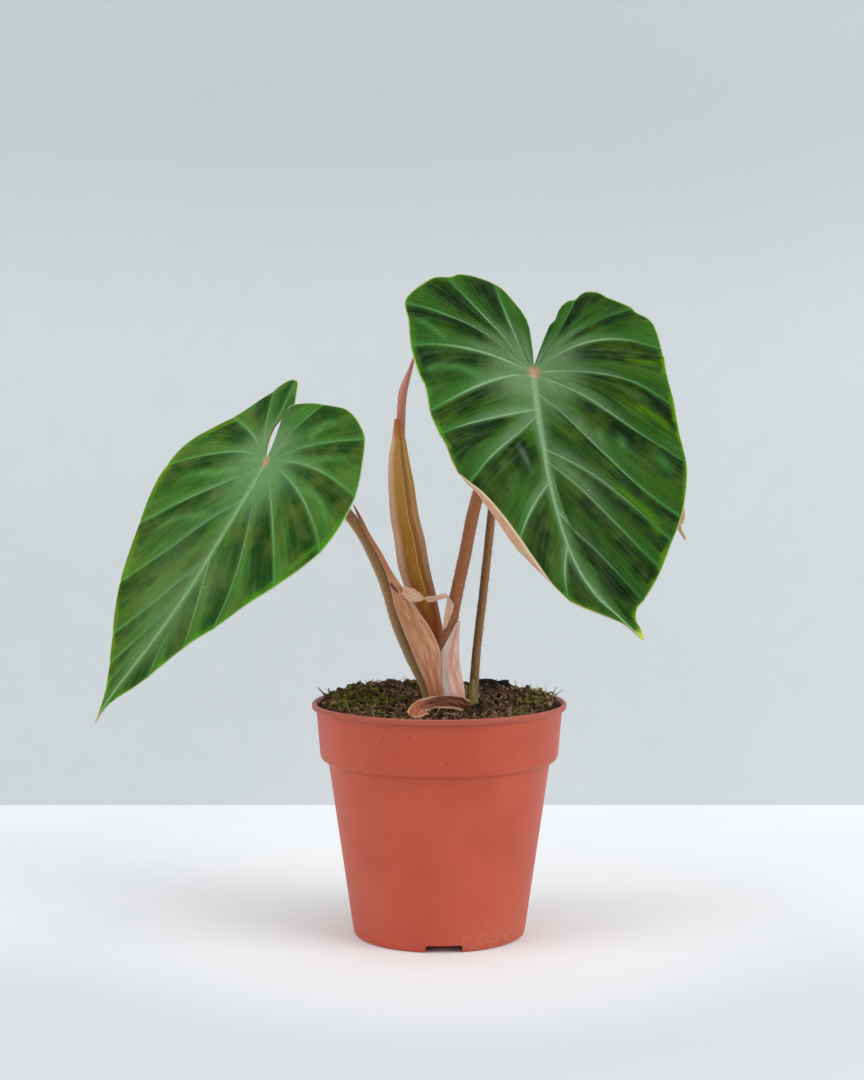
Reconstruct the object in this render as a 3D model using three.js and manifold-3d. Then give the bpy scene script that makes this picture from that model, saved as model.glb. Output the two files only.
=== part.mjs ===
// A young philodendron verrucosum in a nursery pot: three heart-shaped leaves, a new leaf in its sheath,
// withered sheaths at the foot of the petioles, a crown with roots, soil and a thin-walled pot.
// Millimetres, +Z up. The origin is on the pot's axis, on the surface that it stands on. -Y is the front.
import * as THREE from "three";
import Module from "manifold-3d";

// Pot
const potHeight = 110;
const potSegments = 48;
const potOutside = [
  [39.4, 0], [40.3, 0.6], [40.8, 2.6], [52.2, 81.5], [52.6, 82.4], [55.9, 86], [56.3, 87], [57.9, 106.9],
  [59.4, 107.1], [60, 107.7], [60, 109.3], [59.4, potHeight],
];
const potInside = [
  [39.6, 5], [50.9, 81.2], [51.3, 82.1], [54.6, 85.7], [55, 86.7], [56.6, 106.4], [57.2, 108.6],
  [58.6, potHeight],
];
const potFoot = { inside: 36.8, bevel: 0.5, underside: 3.8, floorTop: 5, padRadius: 8 };
const footNotch = { count: 3, first: 3, width: 17, height: 3.5, depth: 12 };
const drain = { count: 8, radius: 4.2, circle: 24, sides: 16 };

// Soil
const soil = {
  gap: 0.4, edgeHeight: 107.2, edgeDrop: 3, rings: 10,
  hump: 5.5, humpAt: [-18, 22], humpSpread: 30, crumb: 1.3,
};

// Clearance between two pieces that touch
const seat = 0.3;

// Crown: centre line and radii, then the thick roots that run down from it
const crownLine = [[-8, -12, 102], [0, -13, 103.5], [9, -13, 104], [18, -11, 102]];
const crownRadii = [4, 5.5, 5.5, 3.6];
const roots = [
  [[-4, -12, 100], [-14, -16, 84], [-24, -20, 60], [-28, -16, 38]],
  [[2, -13, 100], [2, -26, 82], [8, -34, 58], [4, -32, 34]],
  [[8, -12, 100], [18, -4, 80], [26, 8, 56], [24, 16, 34]],
  [[0, -10, 100], [-6, 6, 82], [-10, 20, 58], [-4, 26, 36]],
];
const rootRadii = [2.4, 1.9, 1.5, 0.9];

// Blades. Each half is drawn flat as [out from the midrib, along the midrib]: an outline from the notch
// between the lobes round to the drip tip, and veins that leave the midrib at "from", bend towards "via" and
// reach outline point number "to". The spine bends the flat blade into place, attachAt is its point at the
// petiole, and face holds the direction that the upper side looks in, there and at the tip.
const blade = {
  thickness: 0.8, ribDepth: 1.1, quilt: 0.1, quiltMost: 2.2, rings: 8, finest: 2, longestStep: 7,
};

const broadHalf = {
  outline: [
    [0, -2], [1.5, -8], [3, -13], [6.5, -23], [9.5, -26], [10.5, -30.5], [14.5, -34.5], [17.5, -35],
    [22, -38.5], [28.5, -38], [32.5, -35.5], [36, -34], [44, -30], [45.5, -28], [52, -24], [56.5, -16],
    [59, -2.5], [59, 18], [59.5, 28], [59, 41], [58.5, 56], [57.5, 68], [55, 78], [50.5, 89], [45, 97.5],
    [34, 109], [23, 117], [11, 122], [6.5, 123], [3, 126.5], [2, 131], [0, 136],
  ],
  veins: [
    { from: 0, via: [5, -13], to: 6 },
    { from: 0, via: [16, -23], to: 12.4 },
    { from: 0, via: [28, -26], to: 15.5 },
    { from: 0, via: [35, -3], to: 18.5 },
    { from: 0, via: [29, 21], to: 20.8 },
    { from: 9, via: [25, 42], to: 23.1 },
    { from: 39, via: [29, 57], to: 24.5 },
    { from: 43, via: [20, 73], to: 25.8 },
    { from: 68, via: [4, 89], to: 27.4 },
  ],
};

const rightLeaf = {
  spine: [
    [45, -14, 306], [44, -21, 284], [43, -28, 264], [46, -36, 243], [51, -47, 217], [59, -56, 193],
    [70, -63, 172], [84, -69, 153], [90, -70, 146],
  ],
  attachAt: 2,
  face: [[0.05, -1, 0.3], [0, -1, 0.3]],
  midrib: [
    [0, 0], [-1, 20], [-2, 40], [-4, 56], [-6, 72], [-8, 86], [-9, 98], [-8, 110], [-4, 120], [0, 136],
  ],
  tip: { from: 96, via: [-5.5, 120] },
  right: { ...broadHalf, fold: [[0, 14], [1, 14]] },
  left: {
    outline: [
      [0, -2], [0.5, -8], [2, -16], [4.5, -25], [11, -33], [18.5, -39.5], [30, -42.5], [38, -42.5], [41, -41],
      [49, -39.5], [54.5, -35.5], [60, -30], [62, -26], [60, -15], [58, -5.5], [54, 3], [52, 6.5], [53, 21],
      [54, 31], [55.5, 40], [60, 50], [62, 58], [60, 66], [55.5, 74], [49.5, 83], [42.5, 91.5], [36, 98.5],
      [30, 104], [24, 109.5], [16, 115.5], [9, 121], [4, 125], [2, 129], [0, 136],
    ],
    veins: [
      { from: 0, via: [10, -16], to: 5.1 },
      { from: 0, via: [15, -13], to: 8.3 },
      { from: 0, via: [29, -27], to: 12.1 },
      { from: 0, via: [21, -13], to: 14 },
      { from: 0, via: [25, 3], to: 16.7 },
      { from: 18, via: [27, 21], to: 18.5 },
      { from: 20, via: [28, 41], to: 21.2 },
      { from: 54, via: [27, 66], to: 24.4 },
      { from: 84, via: [21, 95], to: 27.5 },
    ],
    fold: [[5, 12], [65, 44]],
    roll: { from: [63, 46], to: [30, 99], turn: 80, spread: 5, rise: [28, 54], fall: [92, 122] },
  },
};

const leftLeaf = {
  spine: [
    [-55, -33, 270], [-67, -29, 246], [-79, -27, 224], [-90, -26, 206], [-103, -25, 185], [-114, -24, 167],
    [-129, -22, 145], [-154, -18, 112], [-161, -17, 100],
  ],
  attachAt: 2,
  face: [[-0.66, -0.62, 0.42], [-0.7, -0.58, 0.42]],
  midrib: [[0, 0], [1, 20], [1, 60], [0, 100], [0, 147]],
  tip: { from: 98, via: [0, 124] },
  right: {
    outline: [
      [0, -3], [-2.5, -9], [-6.5, -13.5], [-9, -17], [-9, -21], [-5, -25.5], [3.5, -30], [12.5, -34.5],
      [22, -38], [32, -41], [40, -43.5], [48.5, -43.5], [54, -42], [61, -39.5], [64.5, -36], [67.5, -28],
      [74, -14.5], [76.5, -2.5], [75, 12], [66.5, 29], [57.5, 42.5], [45, 58], [34.5, 73.5], [21.5, 89],
      [15, 105], [9.5, 121], [2.5, 133], [1, 138], [0, 147],
    ],
    veins: [
      { from: 0, via: [9, -20], to: 8.4 },
      { from: 0, via: [27, -23], to: 12.6 },
      { from: 0, via: [38, -21], to: 16.4 },
      { from: 0, via: [40, -4], to: 18.6 },
      { from: 0, via: [28, 15], to: 20.2 },
      { from: 10, via: [23, 36], to: 22.3 },
      { from: 46, via: [13, 67], to: 23.4 },
      { from: 70, via: [5, 89], to: 24.4 },
    ],
    fold: [[0, 2], [1, 2]],
  },
  left: {
    outline: [
      [0, -3], [5, -7], [9, -11], [11, -15], [11, -20], [9.5, -25], [8.5, -30], [11.5, -34.5], [14, -37],
      [20, -36], [33, -30], [43, -24.5], [50.5, -17.5], [55.5, -11.5], [57, -3], [59, 11.5], [58.5, 20],
      [55.5, 33], [55, 43], [51.5, 59], [47, 76], [39.5, 91.5], [29.5, 105], [17.5, 117.5], [8, 128],
      [3, 135], [0, 147],
    ],
    veins: [
      { from: 0, via: [12, -15], to: 9 },
      { from: 0, via: [17, -11], to: 11.2 },
      { from: 0, via: [22, -6], to: 14 },
      { from: 0, via: [23, 2], to: 16.3 },
      { from: 0, via: [22, 22], to: 19.3 },
      { from: 15, via: [13, 42], to: 20.8 },
      { from: 47, via: [24, 69], to: 21.5 },
      { from: 58, via: [14, 78], to: 22.6 },
      { from: 80, via: [5, 104], to: 23.9 },
    ],
    fold: [[-25, -17], [38, 12]],
  },
};

const backLeaf = {
  spine: [
    [0, 20, 285], [11, 26, 278], [37, 34, 256], [59, 40, 241], [79, 46, 224], [100, 52, 207], [118, 57, 190],
    [123, 58, 183],
  ],
  attachAt: 2,
  face: [[0.61, 0.2, 0.77], [0.66, 0.25, 0.7]],
  scale: 0.82,
  midrib: [[0, 0], [0, 60], [0, 136]],
  tip: { from: 90, via: [0, 114] },
  right: { ...broadHalf, fold: [[0, 12], [1, 12]] },
  left: { ...broadHalf, fold: [[0, 12], [1, 12]] },
};

// Petioles: centre lines from the crown up, and radii along them. The last radius is at the blade's
// underside, which the line gets as one point more.
const petioles = {
  right: {
    leaf: rightLeaf,
    line: [
      [7, -13, 106], [5, -12, 122], [4, -11, 136], [6, -10, 151], [12, -7, 180], [18, -3, 207], [28, 0, 233],
      [37, -3, 250], [42, -13, 259],
    ],
    radii: [3.2, 3, 3, 3, 2.9, 2.9, 2.7, 2.5, 2.3, 2.1],
  },
  left: {
    leaf: leftLeaf,
    line: [
      [-2, -12, 106], [-7, -11, 120], [-13, -10, 132], [-19, -9, 146], [-26, -6, 168], [-36, -2, 189],
      [-48, 0, 204], [-61, -7, 214], [-70, -19.5, 220],
    ],
    radii: [3, 2.8, 2.7, 2.7, 2.6, 2.6, 2.5, 2.3, 2, 1.6],
  },
  back: {
    leaf: backLeaf,
    line: [
      [15.3, -11, 104], [16, -9, 116], [17.7, -4, 136], [19.3, 0, 149], [21.5, 5, 167], [25.2, 14, 200],
      [28.4, 22, 226], [32, 30, 245],
    ],
    radii: [2.6, 2.2, 2, 2, 2, 2, 1.9, 1.8, 1.6],
  },
};
const petioleSides = 10;

// New leaf: a spindle with a keel on each side, and the rolled blade that comes out behind its point.
const amberSheath = {
  line: [
    [3, -8, 105], [1, -5, 114], [-1, -4, 128], [-3, -3, 141], [-7, -3, 156], [-9, -2, 163], [-12, -2, 174],
    [-14, -2, 187],
    [-16, -1, 196], [-18, -1, 214], [-19, 0, 226], [-19, 0, 233], [-20, 0, 243],
  ],
  halfWidths: [2.4, 2.8, 3.6, 4.4, 5.4, 5.8, 6.2, 6, 5.7, 5, 3.8, 2.8, 0.8],
  halfDepths: [2.2, 2.4, 3.2, 3.6, 4, 4.2, 4.4, 4.2, 4, 3.4, 2.8, 2.1, 0.7],
  keel: 0.16,
  sides: 12,
  steps: 17,
};
const spear = {
  line: [
    [-17, 4, 214], [-18, 4.5, 226], [-18, 4, 240], [-17, 3, 255], [-15, 3, 262], [-13, 3, 268], [-11, 3, 275],
  ],
  radii: [2, 2.1, 2.1, 2, 1.6, 1.2, 0.6],
  sides: 8,
};

// Withered sheaths: curved strips. Each row gives the strip's middle, half its width as a vector, and how far
// its middle bulges towards "out". The edge lean keeps the normals at the strip's edges from lying flat.
const strip = { thickness: 0.8, columns: 6, edgeLean: 0.05 };
const leftSheath = {
  out: [-0.25, -0.95, 0.1],
  rows: [
    { at: [-1, -18, 112], half: [2.5, 0, 0.6], bulge: 1 },
    { at: [-2.6, -18, 121], half: [3.6, 0, 1], bulge: 1.4 },
    { at: [-4, -17, 128], half: [4.8, 0, 1.2], bulge: 1.8 },
    { at: [-6, -16, 136], half: [6, 0, 1.6], bulge: 2 },
    { at: [-9.8, -15, 144], half: [5.8, 0, 1.8], bulge: 2 },
    { at: [-14.3, -14, 152], half: [4.5, 0, 1.8], bulge: 1.6 },
    { at: [-17.6, -13, 159], half: [3.6, 0, 1.5], bulge: 1 },
    { at: [-20.3, -12, 165], half: [2.4, 0, 1], bulge: 0.6 },
    { at: [-24, -11, 173], half: [1.2, 0, 0.6], bulge: 0.2 },
    { at: [-28, -9.5, 181], half: [1.2, 0, 0.6], bulge: 0.2 },
    { at: [-33, -7.5, 189], half: [1.4, 0, 0.6], bulge: 0.2 },
    { at: [-37, -6, 197], half: [1.6, 0, 0.8], bulge: 0.2 },
    { at: [-40, -5.5, 203], half: [0.8, 0, 0.3], bulge: 0 },
  ],
};
const ribbon = {
  out: [0, -1, 0.3],
  rows: [
    { at: [-17, -16, 164], half: [0.6, 0, 1.6], bulge: 0.2 },
    { at: [-13, -17.5, 162], half: [0.6, 0.6, 2.6], bulge: 0.5 },
    { at: [-9, -18, 160.5], half: [0.4, 1.8, 1.6], bulge: 0.3 },
    { at: [-5, -18.5, 160], half: [0.2, 1.6, -1.4], bulge: 0.3 },
    { at: [-1, -18.5, 160.5], half: [0.2, 0.6, -2.2], bulge: 0.4 },
    { at: [3, -17, 161.5], half: [0.2, 0.4, -2.4], bulge: 0.3 },
    { at: [5, -15.6, 159.5], half: [1.4, 0.4, -1.6], bulge: 0.3 },
    { at: [4.6, -14, 155], half: [1.9, 0.4, -0.4], bulge: 0.3 },
    { at: [3.4, -13.5, 150], half: [1.3, 0.2, 0], bulge: 0.2 },
    { at: [2.4, -13.8, 146], half: [0.7, 0.1, 0], bulge: 0.1 },
  ],
};
const frontSheath = {
  out: [0, -1, 0],
  rows: [
    { at: [6.5, -13, 110], half: [6, 0, 0], bulge: 5.6 },
    { at: [6, -13, 117], half: [5.8, 0, 0], bulge: 5.4 },
    { at: [5.2, -12.5, 123], half: [5.4, 0, 0], bulge: 5 },
    { at: [4.6, -12, 129], half: [5, 0, 0.6], bulge: 4.6 },
    { at: [4.8, -11.5, 135], half: [4.4, 0, 1], bulge: 4.4 },
    { at: [6.6, -11.5, 142], half: [2.6, 0, 1], bulge: 3.9 },
    { at: [8.8, -11.2, 149], half: [0.8, 0, 0.4], bulge: 3.5 },
  ],
};
const dryCurl = {
  out: [0, -0.7, 0.7],
  rows: [
    { at: [13, -22, 110.5], half: [1.4, 1.6, 2], bulge: 0.6 },
    { at: [8, -27, 113], half: [1.6, 1.8, 2.6], bulge: 0.8 },
    { at: [1, -30, 114], half: [0.6, 2, 2.8], bulge: 0.8 },
    { at: [-5, -33, 113.3], half: [-0.2, 2, 2.6], bulge: 0.8 },
    { at: [-10, -36.5, 111.9], half: [-1.6, 1.4, 2.2], bulge: 0.6 },
    { at: [-12, -40, 109.8], half: [-2.4, 0.4, 0.6], bulge: 0.4 },
    { at: [-9.5, -43, 109.2], half: [-0.8, -2.4, -0.4], bulge: 0.3 },
    { at: [-6, -42, 111.2], half: [1, -1.6, -0.6], bulge: 0.2 },
  ],
};
const bract = {
  out: [0, -1, 0.1],
  rows: [
    { at: [16, -14.2, 109], half: [2.4, 0, 0], bulge: 1.8 },
    { at: [15.9, -13.6, 113], half: [2, 0, 0], bulge: 1.6 },
    { at: [15.6, -12.8, 118], half: [1.3, 0, 0], bulge: 1.2 },
    { at: [15.9, -12.2, 122], half: [0.5, 0, 0], bulge: 1.1 },
  ],
};

const colours = {
  terracotta: 0xb5503a, peat: 0x3b2c20, cork: 0x6b5138, leafGreen: 0x2f5a34, paleGreen: 0x3f7040,
  olive: 0x7d5d3c, pinkBrown: 0x9a6450, amber: 0xa86a2e, pink: 0xc58a78, palePink: 0xd9aa98,
  dryBrown: 0x8f5f44,
};

const wasm = await Module();
wasm.setup();

const vec = (p) => new THREE.Vector3(...p);
const ramp = (x, low, high) => THREE.MathUtils.smoothstep(x, low, high);
const mix = THREE.MathUtils.lerp;
const turned = (degrees) => THREE.MathUtils.degToRad(degrees);

function smoothCurve(points) {
  const through = points.map(([x, y, z = 0]) => new THREE.Vector3(x, y, z));
  return new THREE.CatmullRomCurve3(through, false, "centripetal");
}

// Value of a list of numbers at a fractional place in it
function along(values, place) {
  const i = Math.min(Math.floor(place), values.length - 2);
  return mix(values[i], values[i + 1], place - i);
}

// Mesh builder that shares equal points and leaves out faces without area
class Surface {
  constructor() {
    this.keys = new Map();
    this.points = [];
    this.faces = [];
  }

  point(p) {
    const key = p.toArray().map((x) => Math.round(x * 1000)).join();
    if (!this.keys.has(key)) {
      this.keys.set(key, this.points.length / 3);
      this.points.push(p.x, p.y, p.z);
    }
    return this.keys.get(key);
  }

  triangle(a, b, c) {
    const face = [a, b, c].map((p) => this.point(p));
    if (new Set(face).size === 3) this.faces.push(...face);
  }

  quad(a, b, c, d) {
    this.triangle(a, b, c);
    this.triangle(a, c, d);
  }

  // Faces turned round where they enclose a negative volume
  facingOut() {
    const corner = (i) => new THREE.Vector3().fromArray(this.points, 3 * i);
    let volume = 0;
    for (let i = 0; i < this.faces.length; i += 3) {
      const [a, b, c] = this.faces.slice(i, i + 3).map(corner);
      volume += a.dot(b.cross(c));
    }
    if (volume < 0) this.faces.reverse();
    return this.geometry();
  }

  geometry() {
    const made = new THREE.BufferGeometry();
    made.setAttribute("position", new THREE.Float32BufferAttribute(this.points, 3));
    made.setIndex(this.faces);
    return made;
  }
}

function solidOf(geometry) {
  const vertProperties = new Float32Array(geometry.getAttribute("position").array);
  const triVerts = new Uint32Array(geometry.index.array);
  return new wasm.Manifold(new wasm.Mesh({ numProp: 3, vertProperties, triVerts }));
}

function geometryOf(solid) {
  const { vertProperties, triVerts } = solid.getMesh();
  const made = new THREE.BufferGeometry();
  made.setAttribute("position", new THREE.Float32BufferAttribute(vertProperties, 3));
  made.setIndex(Array.from(triVerts));
  return made;
}

// A three.js geometry with its seams closed
function closed(geometry) {
  const surface = new Surface();
  const loose = geometry.index ? geometry.toNonIndexed() : geometry;
  const at = loose.getAttribute("position");
  const corner = (i) => new THREE.Vector3().fromBufferAttribute(at, i);
  for (let i = 0; i < at.count; i += 3) surface.triangle(corner(i), corner(i + 1), corner(i + 2));
  return surface.geometry();
}

// Rings of points, one after the other, with a fan over each end
function skin(rings) {
  const surface = new Surface();
  const sides = rings[0].length;
  rings.slice(1).forEach((ring, k) => {
    for (let i = 0; i < sides; i++) {
      const j = (i + 1) % sides;
      surface.quad(rings[k][i], rings[k][j], ring[j], ring[i]);
    }
  });
  const middle = (ring) => ring.reduce((sum, p) => sum.add(p), new THREE.Vector3()).divideScalar(sides);
  const [first, last] = [rings[0], rings[rings.length - 1]];
  for (let i = 0; i < sides; i++) {
    const j = (i + 1) % sides;
    surface.triangle(middle(first), first[j], first[i]);
    surface.triangle(middle(last), last[i], last[j]);
  }
  return surface.geometry();
}

// A round stem along a curve. Radii are given at the curve's own points, and grow makes it fatter and longer.
function stem(points, radii, sides, steps, grow = 0) {
  const curve = smoothCurve(points);
  let side = new THREE.Vector3(1, 0, 0);
  const rings = [];
  for (let k = 0; k <= steps; k++) {
    const forward = curve.getTangent(k / steps);
    side = side.clone().addScaledVector(forward, -side.dot(forward)).normalize();
    const other = forward.clone().cross(side);
    const beyond = k === 0 ? -grow : k === steps ? grow : 0;
    const centre = curve.getPoint(k / steps).addScaledVector(forward, beyond);
    const radius = along(radii, (k / steps) * (radii.length - 1)) + grow;
    rings.push(
      Array.from({ length: sides }, (_, i) => {
        const a = (2 * Math.PI * i) / sides;
        const outward = side.clone().multiplyScalar(Math.cos(a)).addScaledVector(other, Math.sin(a));
        return centre.clone().addScaledVector(outward, radius);
      }),
    );
  }
  return skin(rings);
}

function fused(geometries) {
  return geometries.map(solidOf).reduce((all, one) => all.add(one));
}

// Blade: the flat half is read at a place between its veins and a share of the way from midrib to margin
function drawnHalf(leaf, half) {
  const last = half.outline.length - 1;
  const outline = smoothCurve(half.outline);
  const notch = { from: 0, via: half.outline[0], to: 0 };
  const rays = [notch, ...half.veins, { ...leaf.tip, to: last, isTip: true }];
  return { ...half, rays, edge: (place) => outline.getPoint(place / last) };
}

// The midrib leans right by midrib[i][0], so its distance changes sign with the half.
function midribOf(leaf) {
  return (v) => {
    const k = leaf.midrib.findIndex((p) => p[1] >= v);
    if (k <= 0) return leaf.midrib[0][0];
    const [a, b] = [leaf.midrib[k - 1], leaf.midrib[k]];
    return mix(a[0], b[0], (v - a[1]) / (b[1] - a[1]));
  };
}

function flatPoint(half, midrib, side, place, t) {
  const i = Math.min(Math.floor(place), half.rays.length - 2);
  const f = place - i;
  const ends = [half.rays[i], half.rays[i + 1]].map((ray) => {
    const start = new THREE.Vector2(side * midrib(ray.from), ray.from);
    const via = new THREE.Vector2(ray.isTip ? side * ray.via[0] : ray.via[0], ray.via[1]);
    const end = half.edge(ray.to);
    return { start, via, end: new THREE.Vector2(end.x, end.y), to: ray.to, from: ray.from };
  });
  const bent = (ray) =>
    new THREE.Vector2(
      mix(mix(ray.start.x, ray.via.x, t), mix(ray.via.x, ray.end.x, t), t),
      mix(mix(ray.start.y, ray.via.y, t), mix(ray.via.y, ray.end.y, t), t),
    );
  const [a, b] = ends;
  const [pa, pb] = [bent(a), bent(b)];
  const point = pa.clone().lerp(pb, f);
  const edge = half.edge(mix(a.to, b.to, f));
  const from = mix(a.from, b.from, f);
  point.addScaledVector(new THREE.Vector2(edge.x, edge.y).sub(a.end.clone().lerp(b.end, f)), t * t);
  point.x += (1 - t) ** 2 * (side * midrib(from) - mix(a.start.x, b.start.x, f));
  return { point, spacing: pa.distanceTo(pb), between: 1 - (2 * f - 1) ** 2 };
}

// Where a flat point comes to lie, and which way its upper side looks
function spineOf(leaf) {
  const curve = smoothCurve(leaf.spine);
  curve.arcLengthDivisions = 400;
  const lengths = curve.getLengths();
  const start = lengths[Math.round((leaf.attachAt / (leaf.spine.length - 1)) * curve.arcLengthDivisions)];
  const total = lengths[lengths.length - 1];
  const faces = leaf.face.map(vec);
  return (v) => {
    const u = THREE.MathUtils.clamp((start + v) / total, 0, 1);
    const forward = curve.getTangentAt(u);
    const up = faces[0].clone().lerp(faces[1], THREE.MathUtils.clamp(v / 140, 0, 1));
    up.addScaledVector(forward, -up.dot(forward)).normalize();
    return { at: curve.getPointAt(u), up, across: up.clone().cross(forward) };
  };
}

function slopeOf(half, s, v) {
  const [[v0, low], [v1, high]] = half.fold;
  let slope = mix(low, high, ramp(v, v0, v1));
  if (half.roll) {
    const { from, to, turn, spread, rise, fall } = half.roll;
    const [ds, dv] = [to[0] - from[0], to[1] - from[1]];
    const beyond = ((s - from[0]) * dv - (v - from[1]) * ds) / Math.hypot(ds, dv);
    slope += turn * ramp(beyond, -spread, spread) * ramp(v, ...rise) * (1 - ramp(v, ...fall));
  }
  return turned(slope);
}

function bentPoint(spine, half, side, s, v) {
  const { at, up, across } = spine(v);
  const steps = 12;
  // A point on the spine itself must come out the same from both halves.
  const slopeAt = (part) => (s > 1e-6 ? slopeOf(half, s * part, v) : 0);
  const point = at.clone();
  for (let k = 0; k < steps; k++) {
    const slope = slopeAt((k + 0.5) / steps);
    point.addScaledVector(across, (side * s * Math.cos(slope)) / steps);
    point.addScaledVector(up, (s * Math.sin(slope)) / steps);
  }
  const slope = slopeAt(1);
  const normal = up.clone().multiplyScalar(Math.cos(slope)).addScaledVector(across, -side * Math.sin(slope));
  return { point, normal };
}

// Places between the veins, the same number on both halves. The midrib is cut where a vein of either half
// leaves it.
function stations(halves) {
  const starts = [...new Set(halves.flatMap((half) => half.rays.map((ray) => ray.from)))];
  starts.sort((a, b) => a - b);
  const cuts = [];
  starts.slice(1).forEach((high, k) => {
    const low = starts[k];
    const parts = Math.max(blade.finest, Math.ceil((high - low) / blade.longestStep));
    for (let i = 1; i <= parts; i++) cuts.push(mix(low, high, i / parts));
  });
  return halves.map((half) => {
    const basal = half.rays.filter((ray) => ray.from === 0).length - 1;
    const places = Array.from({ length: basal * blade.finest + 1 }, (_, i) => i / blade.finest);
    for (const v of cuts) {
      const i = half.rays.findIndex((ray) => ray.from >= v - 1e-9) - 1;
      const { from } = half.rays[i];
      places.push(i + (v - from) / (half.rays[i + 1].from - from));
    }
    return places;
  });
}

function makeBlade(leaf) {
  const size = leaf.scale ?? 1;
  const midrib = midribOf(leaf);
  const spine = spineOf(leaf);
  const halves = [drawnHalf(leaf, leaf.left), drawnHalf(leaf, leaf.right)];
  const places = stations(halves);
  const ribEnd = leaf.right.outline.at(-1)[1];
  const surface = new Surface();
  const rows = places[0].map((_, row) => {
    const cells = [];
    for (let column = -blade.rings; column <= blade.rings; column++) {
      const which = column < 0 ? 0 : 1;
      const side = column < 0 ? -1 : 1;
      const t = Math.abs(column) / blade.rings;
      const flat = flatPoint(halves[which], midrib, side, places[which][row], t);
      const [s, v] = [flat.point.x * size, flat.point.y * size];
      // A midrib that leans over lies in the other half's ground.
      const ground = s < 0 ? 1 - which : which;
      const { point, normal } = bentPoint(spine, halves[ground], s < 0 ? -side : side, Math.abs(s), v);
      const quilt = Math.min(blade.quiltMost, blade.quilt * flat.spacing) * flat.between * (1 - 0.5 * t ** 3);
      const rib = column === 0 ? blade.ribDepth * (1 - flat.point.y / ribEnd) : 0;
      cells.push([
        point.clone().addScaledVector(normal, quilt + blade.thickness / 2),
        point.clone().addScaledVector(normal, quilt - blade.thickness / 2 - rib),
      ]);
    }
    return cells;
  });
  rows.slice(1).forEach((row, k) => {
    const before = rows[k];
    for (let c = 0; c < row.length - 1; c++) {
      // Both faces are split along the same diagonal.
      const [a, b, d, e] = [before[c], before[c + 1], row[c + 1], row[c]];
      surface.quad(a[0], e[0], d[0], b[0]);
      surface.quad(a[1], b[1], d[1], e[1]);
    }
    const end = row.length - 1;
    surface.quad(before[0][0], before[0][1], row[0][1], row[0][0]);
    surface.quad(before[end][0], row[end][0], row[end][1], before[end][1]);
  });
  return surface.geometry();
}

// Where a petiole ends: under the rib at the point where the blade is attached
function petioleTop(leaf) {
  const { at, up } = spineOf(leaf)(0);
  return at.addScaledVector(up, -blade.thickness / 2 - blade.ribDepth - seat).toArray();
}

// A curved strip of even thickness
function makeStrip({ out, rows }) {
  const outward = vec(out).normalize();
  const surface = new Surface();
  const layers = rows.map(({ at, half, bulge }, k) => {
    const [middle, across] = [vec(at), vec(half)];
    const next = vec(rows[Math.min(k + 1, rows.length - 1)].at);
    const lengthwise = next.sub(vec(rows[Math.max(k - 1, 0)].at)).normalize();
    return Array.from({ length: strip.columns + 1 }, (_, c) => {
      const a = (Math.PI * c) / strip.columns;
      const point = middle.clone().addScaledVector(across, -Math.cos(a));
      point.addScaledVector(outward, bulge * Math.sin(a));
      const tangent = across.clone().multiplyScalar(Math.sin(a) + strip.edgeLean);
      tangent.addScaledVector(outward, bulge * Math.cos(a));
      const normal = tangent.cross(lengthwise).normalize();
      return [
        point.clone().addScaledVector(normal, strip.thickness / 2),
        point.clone().addScaledVector(normal, -strip.thickness / 2),
      ];
    });
  });
  const last = strip.columns;
  layers.slice(1).forEach((row, k) => {
    const before = layers[k];
    for (let c = 0; c < last; c++) {
      surface.quad(before[c][0], before[c + 1][0], row[c + 1][0], row[c][0]);
      surface.quad(before[c][1], row[c][1], row[c + 1][1], before[c + 1][1]);
    }
    surface.quad(before[0][0], row[0][0], row[0][1], before[0][1]);
    surface.quad(before[last][0], before[last][1], row[last][1], row[last][0]);
  });
  const [first, end] = [layers[0], layers[layers.length - 1]];
  for (let c = 0; c < last; c++) {
    surface.quad(first[c][0], first[c][1], first[c + 1][1], first[c + 1][0]);
    surface.quad(end[c][0], end[c + 1][0], end[c + 1][1], end[c][1]);
  }
  return surface.facingOut();
}

// Spindle: lens section, its keels at the left and the right. Grow makes it fatter and longer.
function makeSpindle({ line, halfWidths, halfDepths, keel, sides, steps }, grow = 0) {
  const curve = smoothCurve(line);
  const rings = [];
  for (let k = 0; k <= steps; k++) {
    const place = (k / steps) * (line.length - 1);
    const beyond = k === 0 ? -grow : k === steps ? grow : 0;
    const centre = curve.getPoint(k / steps);
    rings.push(
      Array.from({ length: sides }, (_, i) => {
        const a = (2 * Math.PI * i) / sides;
        const ridge = 1 + keel * Math.abs(Math.cos(a)) ** 8;
        const x = (along(halfWidths, place) * ridge + grow) * Math.cos(a);
        const y = (along(halfDepths, place) + grow) * Math.sin(a);
        return centre.clone().add(new THREE.Vector3(x, y, beyond));
      }),
    );
  }
  return skin(rings);
}

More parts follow.
